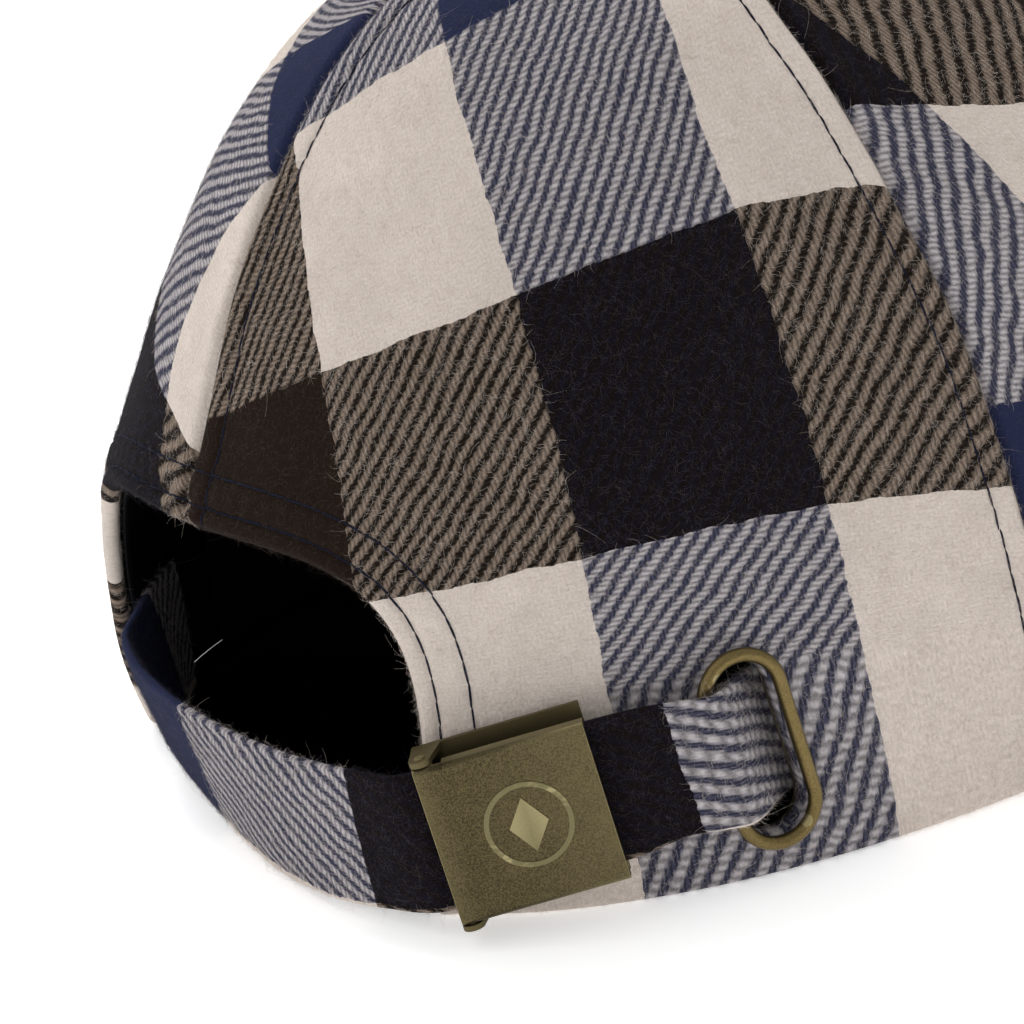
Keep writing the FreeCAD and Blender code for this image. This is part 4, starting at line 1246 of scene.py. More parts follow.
@dataclass
class Nap:
    """The loose fibres of brushed wool."""

    per_square: float = 5.0
    long_share: float = 0.10
    radius: float = 0.0085
    stray: tuple = (0.24, 0.190, 0.150)

    def grow(
        self,
        name: str,
        piece: bpy.types.Object,
        wool: PlaidWool,
        rng: np.random.Generator,
        density: float,
    ) -> None:
        """Grows fibres on the faces of a piece of the cap that show the wool.

        Args:
            name: The fibres' name.
            piece: The cloth.
            wool: The wool's colours.
            rng: Source of the fibres' places and shapes.
            density: A share of the usual number of fibres.
        """
        mesh = piece.data
        mesh.calc_loop_triangles()
        corners = numbers_of(mesh.loop_triangles, "vertices", 3, np.int32)
        slots = numbers_of(mesh.loop_triangles, "material_index", 1, np.int32)[:, 0]
        corners = corners[slots == 0]
        points = numbers_of(mesh.vertices, "co", 3).astype(float) / MM
        flat = numbers_of(mesh.attributes["cloth"].data, "vector", 3)
        a, b, c = (points[corners[:, k]] for k in range(3))
        cross = np.cross(b - a, c - a)
        area = np.linalg.norm(cross, axis=1) / 2.0
        count = int(area.sum() * self.per_square * density)
        chosen = rng.choice(len(corners), count, p=area / area.sum())
        first, second = rng.random((2, count))
        flip = first + second > 1.0
        first, second = np.where(flip, 1 - first, first), np.where(flip, 1 - second, second)
        shares = np.stack([1 - first - second, first, second], axis=-1)[..., None]
        picked = corners[chosen]
        roots = np.sum(points[picked] * shares, axis=1)
        lays = np.sum(flat[picked] * shares, axis=1)
        normals = unit(cross)[chosen]
        self._curves(name, roots, normals, lays, wool, rng)

    def _curves(
        self,
        name: str,
        roots: Array,
        normals: Array,
        lays: Array,
        wool: PlaidWool,
        rng: np.random.Generator,
    ) -> None:
        """Writes the fibres as one hair object."""
        count, steps = len(roots), 6
        lying = unit(np.cross(normals, rng.normal(size=(count, 3))))
        bend = unit(np.cross(normals, lying))
        is_long = rng.random(count) < self.long_share
        length = np.where(is_long, rng.uniform(1.1, 2.3, count), rng.uniform(0.35, 1.0, count))
        lift = np.where(is_long, rng.uniform(0.10, 0.40, count), rng.uniform(0.15, 0.55, count))
        curl = np.where(is_long, rng.normal(0.0, 0.8, count), rng.normal(0.0, 0.5, count))
        t = np.linspace(0.0, 1.0, steps)[None, :, None]
        turns = rng.uniform(2.0, 6.0, (count, 1, 1))
        wriggle = np.sin(t * turns + rng.uniform(0.0, 6.3, (count, 1, 1)))
        reach = length[:, None, None]
        points = (
            roots[:, None]
            + lying[:, None] * t * reach
            + normals[:, None] * (t * (1.35 - 0.55 * t)) * reach * lift[:, None, None]
            + bend[:, None] * (curl[:, None, None] * t * t + 0.10 * wriggle * t) * reach
        )
        hair = bpy.data.hair_curves.new(name)
        hair.add_curves([steps] * count)
        places = (points * MM).astype(np.float32).ravel()
        hair.attributes["position"].data.foreach_set("vector", places)
        radius = hair.attributes.get("radius") or hair.attributes.new("radius", "FLOAT", "POINT")
        taper = np.linspace(1.0, 0.45, steps)[None]
        thick = self.radius * rng.uniform(0.7, 1.3, (count, 1)) * taper
        radius.data.foreach_set("value", (thick * MM).astype(np.float32).ravel())
        warp, weft = wool.thread_colours(lays[:, 0], lays[:, 1])
        own = np.where(rng.random((count, 1)) < 0.5, warp, weft)
        lighter = rng.uniform(0.0, 0.60, (count, 1)) ** 2.0
        colour = own * (1.0 - lighter) + np.array(self.stray) * lighter
        tint = hair.attributes.new("fibre_colour", "FLOAT_VECTOR", "CURVE")
        tint.data.foreach_set("vector", colour.astype(np.float32).ravel())
        hair.materials.append(self._material())
        fibres = bpy.data.objects.new(name, hair)
        bpy.context.scene.collection.objects.link(fibres)
        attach(fibres, CROWN_BODY)
        LOG.info("%-26s %6d fibres on %s", name, count, CROWN_BODY)

    @staticmethod
    def _material() -> bpy.types.Material:
        """The fibres' own material, made once."""
        known = bpy.data.materials.get("wool_fibre")
        if known:
            return known
        web = Web("wool_fibre", {"Roughness": 0.75, "Specular IOR Level": 0.25})
        web.feed("Base Color", web.attribute("fibre_colour", "Color"))
        return web.material


@dataclass
class Crown:
    """The six panels with their seams, hem, stitches and nap."""

    form: CrownForm
    finishes: Finishes
    back_seam: float = 81.2
    front_seam: float = 131.0

    def __post_init__(self) -> None:
        """Lays out the panels' cloth."""
        form = self.form
        back, front = self.back_seam, self.front_seam
        right_lay = ClothLay(
            (22.3, 29.0, 6.6, -1.9, 0.9, 1.5), (22.7, -8.2, 33.9, 3.9, -4.5, -3.1, 1.2)
        )
        left_lay = ClothLay(
            (20.7, 29.0, 11.0, 0.0, 0.0, -12.0), (24.8, 8.2, 33.9, 5.0, 4.5, -3.1, 1.2)
        )
        side_lay = ClothLay((66.0, 28.0, 1.5), (-22.5, 1.0, 26.0, -1.5))
        far_lay = ClothLay((8.0, 28.0, -1.5), (-22.5, -1.0, 26.0, -1.5))
        brow_lay = ClothLay((30.0, 28.0, 1.0), (-8.0, 1.0, 29.0, -1.5))
        off_lay = ClothLay((74.0, 28.0, -1.0), (-8.0, -1.0, 29.0, -1.5))
        plain, sewn = Edge.SEAM, Edge.STITCHED_SEAM
        self.panels = [
            Panel("crown_panel_back_right", 0.0, back, right_lay, sewn, sewn, arched=1,
                  slot=SlotHole(form.ring()), nap=1.4),
            Panel("crown_panel_back_left", -back, 0.0, left_lay, sewn, plain, arched=-1, nap=1.0),
            Panel("crown_panel_side_right", back, front, side_lay, plain, sewn, nap=1.0),
            Panel("crown_panel_side_left", -front, -back, far_lay, sewn, plain),
            Panel("crown_panel_front_right", front, 180.0, brow_lay, plain, sewn),
            Panel("crown_panel_front_left", -180.0, -front, off_lay, plain, plain),
        ]

    def build(self) -> None:
        """Makes the panels, their topstitching and their nap."""
        for number, panel in enumerate(self.panels):
            rng = np.random.default_rng(40 + number)
            piece = panel.build(self.form, self.finishes, rng)
            finish_piece(piece, CROWN_BODY, [panel.node])
            wide, long = np.ptp(panel.flat.reshape(-1, 2), axis=0)
            declare_cloth(piece, float(wide), float(long))
            Nap().grow(panel.node + "_nap", piece, self.finishes.wool, rng, panel.nap)
        lines = [line for panel in self.panels for line in panel.stitch_lines()]
        Stitching().build("crown_topstitching", lines, self.finishes, np.random.default_rng(7))


# ------------------------------------------------------------------ strap


@dataclass
class Strap:
    """The strap from its sewn end, across the opening, through the buckle and the ring."""

    form: CrownForm
    wide: float = 18.4
    held: float = 17.2
    tail: float = 16.4
    cloth: float = 1.8
    start: tuple = (
        (-53.0, 9.8, 5.2, 0.0), (-48.0, 9.8, 5.2, 0.0), (-43.0, 9.8, 5.2, 0.0),
        (-38.5, 9.8, 5.2, 0.0), (-33.5, 9.8, 4.5, 0.0), (-27.0, 9.8, 2.2, 0.0),
        (-19.0, 9.8, 1.3, 0.0), (-9.0, 9.8, 1.0, 0.0), (3.0, 9.8, 0.9, 0.5),
        (14.0, 9.9, 0.6, 2.0), (24.0, 10.2, -0.6, 5.5), (31.5, 10.9, -2.4, 9.5),
    )
    in_buckle: tuple = (-11.6, -7.5, -3.0, 2.0, 7.0, 11.0)
    buckle_depth: float = -3.68
    end: tuple = (
        (-11.0, 17.2, -3.5, 12.2), (-7.6, 17.2, -3.9, 12.0), (-5.0, 17.1, -3.9, 11.8),
        (-2.8, 17.0, -2.25, 11.8), (-0.6, 16.9, 0.6, 11.8), (1.7, 16.8, 3.2, 11.5),
        (4.1, 16.7, 5.3, 11.0), (7.1, 16.6, 6.1, 9.0), (13.0, 16.5, 6.2, 6.0),
        (20.0, 16.4, 6.2, 4.0),
    )
    stripe_marks: tuple = (-60.0, -3.6, 29.0, 69.0, 110.0)
    stripe_places: tuple = (52.0, 108.0, 144.0, 180.0, 196.0)

    def stations(self) -> tuple:
        """The middle, upward edge vector and outward normal of each section."""
        level = 14.3
        middles, ups, outs = [], [], []

        def take(matrix: Matrix, width: float) -> None:
            """Notes one section."""
            middles.append(matrix.translation[:])
            ups.append((matrix.to_3x3() @ Vector((0, 0, width / 2.0)))[:])
            outs.append((matrix.to_3x3() @ Vector((0, -1, 0)))[:])

        for number, (distance, z, depth, tilt) in enumerate(self.start):
            easing = float(smooth_step(np.float64((number - 8) / 4.0)))
            tau = float(self.form.tau_at(distance, level))
            matrix = self.form.frame(tau, z, tilt) @ Matrix.Translation((0, depth, 0))
            take(matrix, self.wide + (self.held - self.wide) * easing)
        buckle = self.form.buckle()
        for x in self.in_buckle:
            take(buckle @ Matrix.Translation((x, self.buckle_depth, 0)), self.held)
        ring = float(self.form.arc(np.array([57.4]), np.array([level]))[0])
        for distance, z, depth, tilt in self.end:
            slope = math.radians(46.0) * math.exp(-(((distance + 0.3) / 4.4) ** 4))
            tau = float(self.form.tau_at(ring + distance, level))
            place = self.form.frame(tau, z, tilt) @ Matrix.Translation((0, depth, 0))
            take(place @ Matrix.Rotation(slope, 4, "Z"), self.tail)
        return np.array(middles), np.array(ups), np.array(outs)

    @staticmethod
    def _smooth(rows: Array, run: Array, wanted: Array) -> Array:
        """A smooth curve through rows of numbers, by Hermite pieces."""
        slopes = np.gradient(rows, run, axis=0)
        index = np.clip(np.searchsorted(run, wanted, side="right") - 1, 0, len(run) - 2)
        gap = (run[index + 1] - run[index])[:, None]
        t = ((wanted - run[index]) / gap[:, 0])[:, None]
        return (
            (1 + 2 * t) * (1 - t) ** 2 * rows[index]
            + t * (1 - t) ** 2 * gap * slopes[index]
            + t * t * (3 - 2 * t) * rows[index + 1]
            + t * t * (t - 1) * gap * slopes[index + 1]
        )

    def build(self, finishes: Finishes) -> bpy.types.Object:
        """Meshes the strap with soft folded edges."""
        middles, ups, outs = self.stations()
        run = run_of(middles)
        wanted = np.linspace(0.0, run[-1], 330)
        middle = self._smooth(middles, run, wanted)
        up = self._smooth(ups, run, wanted)
        out = unit(self._smooth(outs, run, wanted))
        half = np.linalg.norm(up, axis=1)
        sides = 64
        angle = np.linspace(0.0, 2.0 * math.pi, sides, endpoint=False)
        across = np.sign(np.sin(angle)) * np.abs(np.sin(angle)) ** 0.24
        thick = np.sign(np.cos(angle)) * np.abs(np.cos(angle)) ** 0.62
        rng = np.random.default_rng(21)
        wobble = sum(
            0.05 * np.sin(
                wanted[:, None] / size + rng.uniform(0, 6.3) + across[None] * rng.uniform(-2, 2)
            )
            for size in (1.9, 3.1, 5.3)
        )
        pinch = 0.9 - 0.25 * bell(np.abs(across) - 0.84, 0.07)
        depth = self.cloth / 2.0 * thick * pinch
        points = (
            middle[:, None]
            + up[:, None] * across[None, :, None]
            + out[:, None] * (depth[None] + wobble * np.sign(thick)[None] * 0.6)[..., None]
        )
        ends = points.shape[0]
        level = half[:, None] * across[None]
        from_start = run_of(middle)
        distance = np.interp(from_start, [0.0, from_start[-1]], [-53.0, -53.0 + from_start[-1]])
        flat_along = np.interp(distance, self.stripe_marks, self.stripe_places)
        flat = np.stack([43.9 - level, np.repeat(flat_along[:, None], sides, axis=1)], axis=-1)
        faces = ring_faces(ends, sides)
        piece = make_object(
            "strap_cloth", points.reshape(-1, 3), faces, [finishes.plaid], flat.reshape(-1, 2)
        )
        finish_piece(piece, CROWN_BODY, ["strap"])
        declare_cloth(piece, self.wide, float(run[-1]))
        Nap().grow("strap_nap", piece, finishes.wool, np.random.default_rng(22), 1.6)
        return piece


# ------------------------------------------------------------------ inside


@dataclass
class Inside:
    """The facing round the arch, the tapes over the seams and the sweatband."""

    form: CrownForm
    facing_width: float = 10.0
    facing_fit: float = 0.4
    facing_depth: float = 2.4
    facing_cloth: float = 0.8
    facing_foot: float = 0.6
    tape_width: float = 10.0
    tape_depth: float = 2.25
    tape_cloth: float = 0.5
    tape_lift: float = 2.0
    tape_top: float = 0.975
    band_height: float = 28.0
    band_lift: float = 1.2
    band_depth: float = 3.7
    band_bump: float = 4.0
    band_cloth: float = 1.0
    band_ends: tuple = (36.0, 308.0)
    bump_ends: tuple = (45.0, 84.0)
    bump_slope: float = 9.5

    def build(self, finishes: Finishes) -> None:
        """Meshes the pieces."""
        self._facing(finishes)
        seams = {
            "back": 0.0,
            "right_back": Crown.back_seam,
            "right_front": Crown.front_seam,
            "front": 180.0,
            "left_front": -Crown.front_seam,
            "left_back": -Crown.back_seam,
        }
        for side, seam in seams.items():
            self._tape("seam_tape_" + side, seam, finishes)
        self._band(finishes)

    def _facing(self, finishes: Finishes) -> None:
        """The tape turned round the inside of the arch."""
        form = self.form
        half = np.linspace(0.02, math.pi / 2.0, 110)
        power = 2.0 / form.arch_exponent
        x = form.arch_half_width * np.cos(half) ** power
        z = form.arch_height * np.sin(half) ** power
        x, z = np.append(x, 0.0), np.append(z, form.arch_height)
        keep = z >= self.facing_foot
        line = np.stack([x[keep], z[keep]], axis=-1)
        line = np.concatenate([line, (line * (-1.0, 1.0))[-2::-1]])
        line = resample(line, np.linspace(0.0, 1.0, 220))
        ahead = unit(np.gradient(line, axis=0))
        outward = np.stack([ahead[:, 1], -ahead[:, 0]], axis=-1)
        steps = self.facing_fit + (self.facing_width - self.facing_fit) * crowded_steps(9, 2.0)
        spread = line[:, None] + outward[:, None] * steps[None, :, None]
        spread[..., 1] = np.maximum(spread[..., 1], self.facing_foot)
        tau = form.tau_for(spread[..., 0], spread[..., 1])
        depth = np.full(tau.shape, self.facing_depth + self.facing_cloth / 2.0)
        middle = form.point(tau, spread[..., 1], depth)
        flat = flat_grid(run_of(line), steps)
        half = self.facing_cloth / 2.0
        piece = cloth_sheet("arch_facing_tape", middle, half, [finishes.tape], flat, 0.4)
        finish_piece(piece, CROWN_BODY, ["arch_facing"])
        long = float(run_of(middle[:, 0])[-1])
        declare_cloth(piece, self.facing_width, long)

    def _tape(self, name: str, seam: float, finishes: Finishes) -> None:
        """One tape over a seam."""
        form = self.form
        start = float(form.rim(np.array(seam))) + self.tape_lift
        if seam == 0.0:
            start += form.arch_height + self.facing_width + 1.0
        foot, top = (form.share_at(seam, z) for z in (start, self.tape_top * form.height))
        shares = np.linspace(float(foot), float(top), 90)
        z = form.height_at(np.full_like(shares, seam), shares)
        across = (crowded_steps(7, 2.0) - 0.5) * self.tape_width
        reach = np.linalg.norm(form.skin(seam + 0.5, z) - form.skin(seam - 0.5, z), axis=-1)
        if abs(seam) == 180.0:
            reach = np.linalg.norm(form.skin(179.9, z) - form.skin(178.9, z), axis=-1)
        tau = seam + across[None] / reach[:, None]
        depth = np.full(tau.shape, self.tape_depth + self.tape_cloth / 2.0)
        middle = form.point(tau, np.repeat(z[:, None], len(across), axis=1), depth)
        flat = flat_grid(run_of(middle[:, 3]), across)
        half = self.tape_cloth / 2.0
        piece = cloth_sheet(name + "_strip", middle, half, [finishes.tape], flat, 0.3)
        finish_piece(piece, CROWN_BODY, [name])
        declare_cloth(piece, self.tape_width, float(run_of(middle[:, 3])[-1]))

    def _band(self, finishes: Finishes) -> None:
        """The sweatband, which stands off the crown where the strap's tail lies behind it."""
        form = self.form
        tau = np.linspace(*self.band_ends, 300)
        rise = smooth_step((tau - self.bump_ends[0]) / self.bump_slope)
        fall = smooth_step((self.bump_ends[1] - tau) / self.bump_slope)
        depth = self.band_depth + self.band_bump * rise * fall + self.band_cloth / 2.0
        levels = crowded_steps(15, 2.5)
        height = self.band_lift + (self.band_height - self.band_lift) * levels
        z = form.rim(tau)[:, None] + height[None]
        middle = form.point(tau[:, None] + np.zeros_like(z), z, depth[:, None] + np.zeros_like(z))
        run = run_of(middle[:, 7])
        ripple = 0.10 * np.sin(run[:, None] / 3.1 + height[None] / 9.0)
        ripple = ripple * np.sin(math.pi * levels)[None]
        flat = flat_grid(run, height)
        piece = cloth_sheet(
            "sweatband_cloth", middle, self.band_cloth / 2.0, [finishes.band], flat, 0.7, ripple
        )
        finish_piece(piece, CROWN_BODY, ["sweatband"])
        declare_cloth(piece, self.band_height - self.band_lift, float(run[-1]))


# ------------------------------------------------------------------ visor and button


@dataclass
class Visor:
    """The visor's upper and under cloths, which meet round the board."""

    form: CrownForm
    half_angle: float = 62.0
    reach: float = 70.0
    half_width: float = 88.0
    sweep: float = 84.0
    corner: float = 0.12
    edge_lift: float = 18.9
    edge_drop: float = 15.3
    edge_span: float = 82.0
    edge_power: float = 0.8
    inset: float = 1.5
    seam_gap: float = 0.45
    belly: float = 1.2
    tip: float = -50.0
    cloth: float = 1.2
    under_depth: float = 3.1
    lips: tuple = (1.2, -0.85)
    lip_start: float = 0.987
    stitch_rows: tuple = (0.965, 0.88, 0.75, 0.62, 0.49)

    def _skin(self, across: Array, out: Array) -> Array:
        """Points of the upper face; across runs -1 to 1, out 0 at the crown to 1."""
        form = self.form
        tau = wrap(180.0 + across * self.half_angle)
        rim = form.rim(tau)
        near = form.point(tau, rim, np.full(tau.shape, self.inset))
        near[..., 2] = rim - self.seam_gap
        turn = np.radians(self.sweep * across)
        x = self.half_width * np.sin(turn) * (1.0 - self.corner * np.abs(across) ** 6)
        centre = -form.front_length - self.reach
        y = self.tip + (centre - self.tip) * np.cos(turn) ** self.edge_power
        z = self.edge_lift - self.edge_drop * (x / self.edge_span) ** 2
        far = np.stack([x, y, z], axis=-1)
        point = near + (far - near) * out[..., None]
        point[..., 2] += self.belly * np.sin(math.pi * out) ** 2 * (1.0 - across * across)
        return point

    def _at(self, across: Array, out: Array, depth: float) -> Array:
        """Points at a depth below the upper face, and the normals there."""
        step = 0.01
        left, right = np.maximum(across - step, -1.0), np.minimum(across + step, 1.0)
        low, high = np.maximum(out - step, 0.0), np.minimum(out + step, 1.0)
        along = self._skin(right, out) - self._skin(left, out)
        outward = self._skin(across, high) - self._skin(across, low)
        normal = unit(np.cross(along, outward))
        normal = normal * np.sign(normal[..., 2:])
        return self._skin(across, out) - normal * depth, normal

    def build(self, finishes: Finishes) -> None:
        """Meshes both cloths, their stitching and their nap."""
        across = crowded_steps(190, 3.0) * 2.0 - 1.0
        out = crowded_steps(64, 3.0)
        across, out = np.meshgrid(across, out, indexing="ij")
        lines = []
        cloths = (("visor_upper", 0.0), ("visor_under", self.under_depth))
        for number, (node, top) in enumerate(cloths):
            past = np.maximum(out, np.abs(across)) - self.lip_start
            turned = smooth_step(past / (1.0 - self.lip_start))
            lip = self.lips[number] * turned * smooth_step(out / 0.03)
            middle, normal = self._at(across, out, (top + self.cloth / 2.0 + lip)[..., None])
            grooves = sum(-0.28 * bell((out - row) * self.reach, 0.7) for row in self.stitch_rows)
            side = 1.0 if number == 0 else -1.0
            flat = middle[..., :2] * (1.0, -1.0) + (13.0, -18.0)
            raised = grooves if number == 0 else None
            piece = cloth_sheet(
                node + "_cloth", middle, self.cloth / 2.0, [finishes.plaid], flat, 0.55, raised
            )
            finish_piece(piece, CROWN_BODY, [node])
            wide, long = 2.0 * self.half_width, 1.2 * self.reach
            declare_cloth(piece, wide, long)
            rng = np.random.default_rng(30 + number)
            Nap().grow(node + "_nap", piece, finishes.wool, rng, 0.3)
            for row in self.stitch_rows:
                way = np.linspace(-0.93, 0.93, 260)
                depth = 0.18 if number == 0 else self.under_depth + self.cloth
                path, up = self._at(way, np.full_like(way, row), depth)
                lines.append((path, up * side))
        Stitching().build("visor_topstitching", lines, finishes, np.random.default_rng(33))


@dataclass
class Button:
    """The wool that covers the button on top."""

    form: CrownForm
    radius: float = 7.5
    height: float = 5.2
    cloth: float = 1.1
    foot: float = 0.35

    def build(self, finishes: Finishes) -> None:
        """Meshes the gathered dome."""
        ball = (self.radius**2 + self.height**2) / (2.0 * self.height)
        middle = self.foot + self.height - ball
        low = math.degrees(math.asin(min((self.foot - middle) / ball, 1.0)))
        rise = np.radians(np.linspace(89.9, low, 26))
        hollow = ball - self.cloth
        inner_low = math.degrees(math.asin((self.foot - middle) / hollow))
        inner = np.radians(np.linspace(inner_low, 89.9, 20))
        radii = np.concatenate([ball * np.cos(rise), hollow * np.cos(inner)])
        heights = np.concatenate([ball * np.sin(rise), hollow * np.sin(inner)]) + middle
        turn = np.linspace(0.0, 2.0 * math.pi, 97)[:-1]
        gather = np.zeros(len(radii))
        gather[: len(rise)] = 0.10 * smooth_step(radii[: len(rise)] / self.radius) ** 2
        folds = np.sin(11.0 * turn) + 0.5 * np.sin(7.0 * turn + 1.0)
        swell = 1.0 + gather[:, None] * folds[None] / self.radius
        x, y = (radii[:, None] * swell * trig(turn)[None] for trig in (np.cos, np.sin))
        z = np.broadcast_to(heights[:, None] + self.form.height, x.shape)
        points = np.stack([x, y + self.form.apex_shift, z], axis=-1)
        rows, columns = x.shape
        faces = ring_faces(rows, columns)
        flat = np.stack([x + 40.0, y + 18.0], axis=-1).reshape(-1, 2)
        piece = make_object("button_cloth", points.reshape(-1, 3), faces, [finishes.plaid], flat)
        finish_piece(piece, CROWN_BODY, ["button_cover"])
        declare_cloth(piece, 2.2 * self.radius, 2.2 * self.radius)
        Nap().grow("button_nap", piece, finishes.wool, np.random.default_rng(35), 1.0)


# ------------------------------------------------------------------ buckle and ring


@dataclass
class Buckle:
    """The flip cover with its motif, and the cloth tab round the frame's bar."""

    form: CrownForm
    length: float = 20.0
    half_height: float = 9.7
    sheet: float = 0.7
    stand: float = 7.2
    bend: float = 0.65
    flange: float = 2.0
    strip: float = 2.3
    plate_end: float = -9.9
    barrel: float = 1.25
    pin: tuple = (-8.75, -5.95)
    tab_width: float = 13.0
    tab_cloth: float = 0.75
    motif_ring: tuple = (4.5, 5.1)
    motif_diamond: tuple = (2.3, 3.3)
    motif_rise: float = 0.10

    def build(self, finishes: Finishes) -> None:
        """Meshes the cover, the motif and the tab."""
        place = np.array(self.form.buckle())
        self._cover(place, finishes)
        self._motif(place, finishes)
        self._tab(place, finishes)

    @staticmethod
    def _placed(points: Array, place: Array) -> Array:
        """Points of the buckle's frame in the cap's frame."""
        return points @ place[:3, :3].T + place[:3, 3]

    def _cover(self, place: Array, finishes: Finishes) -> None:
        """The plate with two bent flanges, and the strip that rolls round the pin."""
        out, tip, half = -self.stand, -self.stand + self.flange, self.half_height
        web, inside = out + self.sheet, half - self.sheet
        bend = self.bend
        upper = arc_points((out + bend, half - bend), bend, 180.0, 90.0, 7)
        lower = arc_points((out + bend, -half + bend), bend, 270.0, 180.0, 7)
        section = np.concatenate([
            upper, [(tip, half), (tip, inside), (web, inside)],
            [(web, -inside), (tip, -inside), (tip, -half)], lower,
        ])
        start = self.pin[0] + self.strip
        plate = np.concatenate([upper, [(web, half - bend), (web, -half + bend)], lower])
        parts = []
        for outline, first in ((section, start), (plate, self.plate_end)):
            last = self.length / 2.0 if outline is section else start
            points, faces = prism(outline, first, last)
            parts.append((points[:, [2, 0, 1]], faces))
        close = math.degrees(math.asin((web - self.pin[1]) / self.barrel))
        around = arc_points(self.pin, self.barrel, close, 180.0 - close, 30)
        parts.append(prism(around, -half, half))
        points, faces = joined(parts)
        piece = make_object("flip_cover_plate", points, faces, [finishes.brass])
        soften_edges(piece, 0.10, start)
        matrix = Matrix(self.form.buckle())
        matrix.translation *= MM
        piece.data.transform(matrix)
        finish_piece(piece, COVER_BODY, ["buckle_cover"])

    def _motif(self, place: Array, finishes: Finishes) -> None:
        """A thin ring and a diamond, just proud of the plate."""
        turn = np.linspace(0.0, 2.0 * math.pi, 73)[:-1]
        centre = np.array([0.9, 0.0])
        low, high = -self.stand + 0.02, -self.stand - self.motif_rise
        ring = np.stack([np.cos(turn), np.sin(turn)], axis=-1)
        inner, outer = (centre + radius * ring for radius in self.motif_ring)
        count = len(turn)
        stack = [(inner, low), (outer, low), (outer, high), (inner, high)]
        points = np.concatenate([
            np.column_stack([line[:, 0], np.full(count, y), line[:, 1]]) for line, y in stack
        ])
        faces = ring_faces(len(stack), count, closed=True)
        wide, tall = self.motif_diamond
        diamond = centre + np.array([(0.0, -tall), (wide, 0.0), (0.0, tall), (-wide, 0.0)])
        core, core_faces = prism(diamond, low, high)
        points, faces = joined([(points, faces), (core[:, [0, 2, 1]], core_faces)])
        points = self._placed(points, place)
        piece = make_object("flip_cover_motif", points, faces, [finishes.motif_brass])
        soften_edges(piece, 0.02)
        finish_piece(piece, COVER_BODY)

    def _tab(self, place: Array, finishes: Finishes) -> None:
        """The tab: a tail under the frame's plate and a loop round its bar."""
        centre = (-9.6, -1.45)
        radius = 0.43 + self.tab_cloth / 2.0
        loop = arc_points(centre, radius, 90.0, 270.0, 17)
        path = np.concatenate([[(5.4, centre[1] + radius)], loop, [(-8.0, centre[1] - radius)]])
        path = resample(path, crowded_steps(120, 2.0))
        across = (crowded_steps(21, 3.0) - 0.5) * self.tab_width
        middle = np.stack([
            np.repeat(path[:, :1], 21, axis=1), np.repeat(path[:, 1:], 21, axis=1),
            np.repeat(across[None], len(path), axis=0),
        ], axis=-1)
        middle = self._placed(middle.reshape(-1, 3), place).reshape(middle.shape)
        run = run_of(path)
        flat = flat_grid(run + 150.0, across + 35.0)[..., ::-1]
        half = self.tab_cloth / 2.0
        piece = cloth_sheet("buckle_tab_cloth", middle, half, [finishes.plaid], flat, 0.35)
        finish_piece(piece, CROWN_BODY, ["buckle_tab"])
        declare_cloth(piece, self.tab_width, float(run[-1]))


@dataclass
class SlotRing:
    """The oval wire ring on the crown."""

    form: CrownForm
    width: float = 11.3
    height: float = 25.4
    wire: float = 1.7
    stand: float = 0.25

    def build(self, finishes: Finishes) -> None:
        """Sweeps the wire."""
        half = self.width / 2.0 - self.wire / 2.0
        straight = self.height / 2.0 - self.wire / 2.0 - half
        top = arc_points((0.0, straight), half, 0.0, 180.0, 33)
        low = arc_points((0.0, -straight), half, 180.0, 360.0, 33)
        oval = np.concatenate([top, low])
        oval = resample(np.concatenate([oval, oval[:1]]), np.linspace(0.0, 1.0, 161))[:-1]
        level = np.full(len(oval), -self.stand - self.wire / 2.0)
        path = np.stack([oval[:, 0], level, oval[:, 1]], axis=-1)
        place = np.array(self.form.ring())
        path = path @ place[:3, :3].T + place[:3, 3]
        points, faces = closed_tube(path, self.wire / 2.0, 28, place[:3, 1])
        piece = make_object("slot_ring_wire", points, faces, [finishes.ring_brass])
        finish_piece(piece, CROWN_BODY, ["slot_ring"])


# ------------------------------------------------------------------ studio


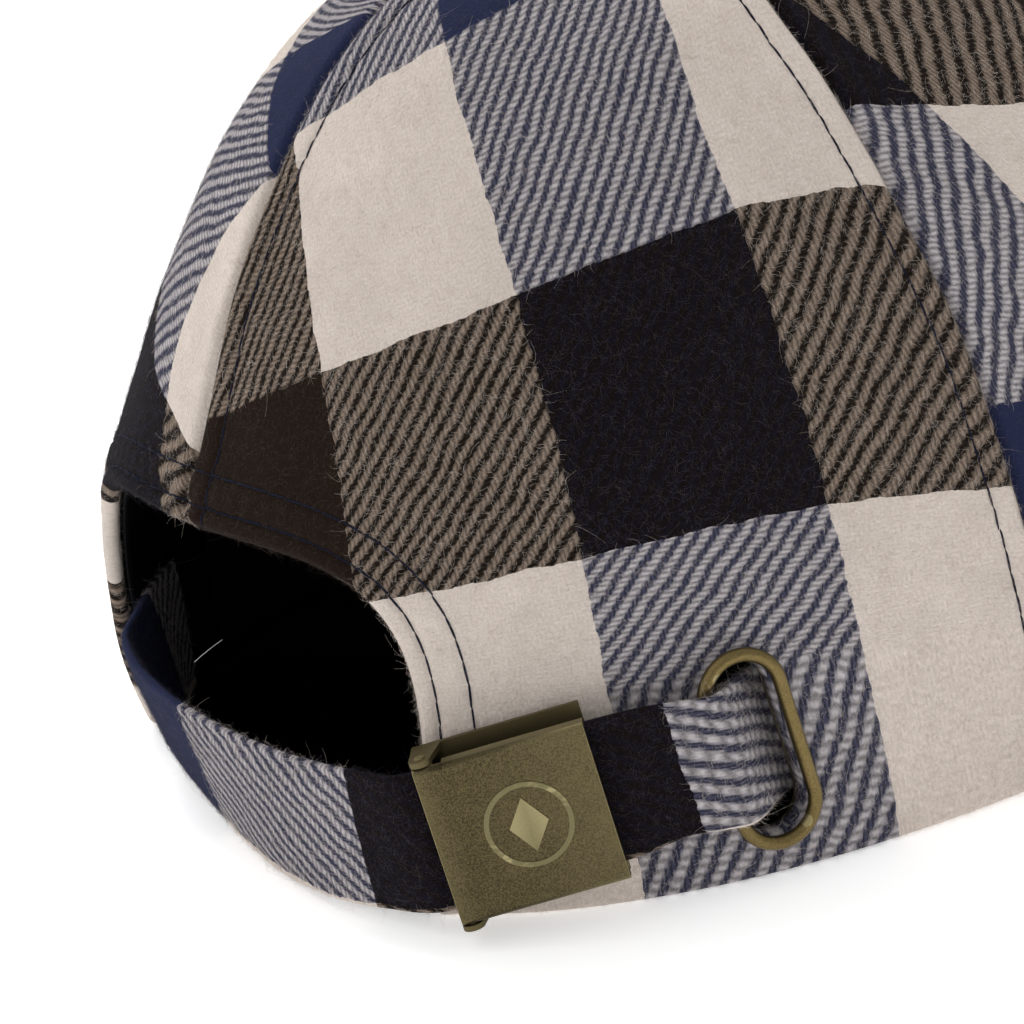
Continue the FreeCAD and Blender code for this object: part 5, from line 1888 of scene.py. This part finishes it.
@dataclass
class Studio:
    """A pale floor, soft light and the camera."""

    form: CrownForm
    finishes: Finishes
    floor_reach: float = 6000.0
    # Size and place of the black floor piece and low wall inside the cap, which paint the shade of
    # its hollow.
    foot_share: float = 0.985
    foot_height: float = 0.12
    wall_share: float = 0.925
    wall_start: float = 84.0
    wall_height: float = 14.0
    eye: tuple = (-0.303577, 0.277500, 0.169237)
    ahead: tuple = (0.748759, -0.565514, -0.345765)
    roll: float = -4.875
    lens: float = 110.13
    sky: float = 0.66
    suns: tuple = (("key", 36.0, 75.0, 1.95, 30.0), ("fill", 48.0, 160.0, 0.45, 80.0))

    def build(self) -> None:
        """Sets the floor, the lights and the camera."""
        self._floor()
        self._lights()
        self._camera()

    def _floor(self) -> None:
        """A wide pale sheet, and a black sheet inside the cap that paints the shade of its hollow.
        """
        corners = self.floor_reach * np.array([(-1, -1, 0), (1, -1, 0), (1, 1, 0), (-1, 1, 0)])
        web = Web("pale_floor", {"Base Color": (0.93, 0.93, 0.93, 1.0), "Roughness": 0.9,
                                 "Specular IOR Level": 0.0, "Emission Color": (1.0, 1.0, 1.0, 1.0),
                                 "Emission Strength": 0.45})
        floor = make_object("floor", corners, [(0, 1, 2, 3)], [web.material])
        # Painted shade: a black floor piece and low wall inside the cap darken its hollow; they are
        # no part of the cap.
        tau = np.linspace(-180.0, 180.0, 145)[:-1]
        edge = self.form.skin(tau, np.full_like(tau, 0.0))
        count = len(tau)
        foot = edge * (self.foot_share, self.foot_share, 0.0) + (0.0, 0.0, self.foot_height)
        top = self.form.rim(tau) + np.where(np.abs(tau) > self.wall_start, self.wall_height, 0.0)
        wall = self.form.skin(tau, top) * (self.wall_share, self.wall_share, 1.0)
        wall[:, 2] = np.maximum(wall[:, 2], self.foot_height)
        sides = [(k, (k + 1) % count, count + (k + 1) % count, count + k) for k in range(count)]
        shade_former = make_object(
            "painted_shade_former", np.concatenate([foot, wall]), [tuple(range(count)), *sides],
            [self.finishes.lining_and_shade],
        )

    def _lights(self) -> None:
        """White surroundings, a broad key and a soft fill."""
        scene = bpy.context.scene
        scene.view_settings.view_transform = "Standard"
        scene.view_settings.look = "None"
        scene.world = bpy.data.worlds.new("studio")
        scene.world.use_nodes = True
        background = scene.world.node_tree.nodes["Background"]
        background.inputs["Color"].default_value = (1.0, 1.0, 1.0, 1.0)
        background.inputs["Strength"].default_value = self.sky
        for name, lean, turn, strength, spread in self.suns:
            light = bpy.data.lights.new(name, "SUN")
            light.energy = strength
            light.angle = math.radians(spread)
            lamp = bpy.data.objects.new(name, light)
            lamp.rotation_euler = (math.radians(lean), 0.0, math.radians(turn))
            scene.collection.objects.link(lamp)

    def _camera(self) -> None:
        """The camera behind the cap on the wearer's right."""
        ahead = Vector(self.ahead).normalized()
        right = ahead.cross(Vector((0.0, 0.0, 1.0))).normalized()
        up = right.cross(ahead)
        turn = math.radians(self.roll)
        side = right * math.cos(turn) + up * math.sin(turn)
        top = up * math.cos(turn) - right * math.sin(turn)
        data = bpy.data.cameras.new("camera")
        data.lens = self.lens
        data.sensor_width = 36.0
        data.clip_start = 0.02
        data.clip_end = 50.0
        camera = bpy.data.objects.new("camera", data)
        place = Matrix((side, top, -ahead)).transposed().to_4x4()
        place.translation = Vector(self.eye)
        camera.matrix_world = place
        bpy.context.scene.collection.objects.link(camera)
        bpy.context.scene.camera = camera


def dress_cad_nodes(finishes: Finishes) -> None:
    """Gives the CAD nodes that stay their finishes."""
    by_slot = {
        "plaid_wool": finishes.plaid,
        "seam_tape_cotton": finishes.tape,
        "sweatband_twill": finishes.band,
        "visor_board_plastic": finishes.board,
        "button_steel": finishes.steel,
        "antique_brass": finishes.brass,
    }
    slots = {part["node"]: part["material_slot"] for part in frame["record"]["subparts"]}
    for name, node in frame["nodes"].items():
        node.data.materials.clear()
        # The buckle frame gets the darkened brass, painted shade for the gap under the cover.
        shaded = name == "buckle_frame"
        node.data.materials.append(finishes.painted_shade_brass if shaded else by_slot[slots[name]])


def main() -> None:
    """Builds the cap and its studio."""
    logging.basicConfig(level=logging.INFO, format="%(message)s")
    finishes = Finishes()
    form = CrownForm()
    dress_cad_nodes(finishes)
    Crown(form, finishes).build()
    Strap(form).build(finishes)
    Inside(form).build(finishes)
    Visor(form).build(finishes)
    Button(form).build(finishes)
    Buckle(form).build(finishes)
    SlotRing(form).build(finishes)
    Studio(form, finishes).build()


if __name__ == "__main__":
    main()
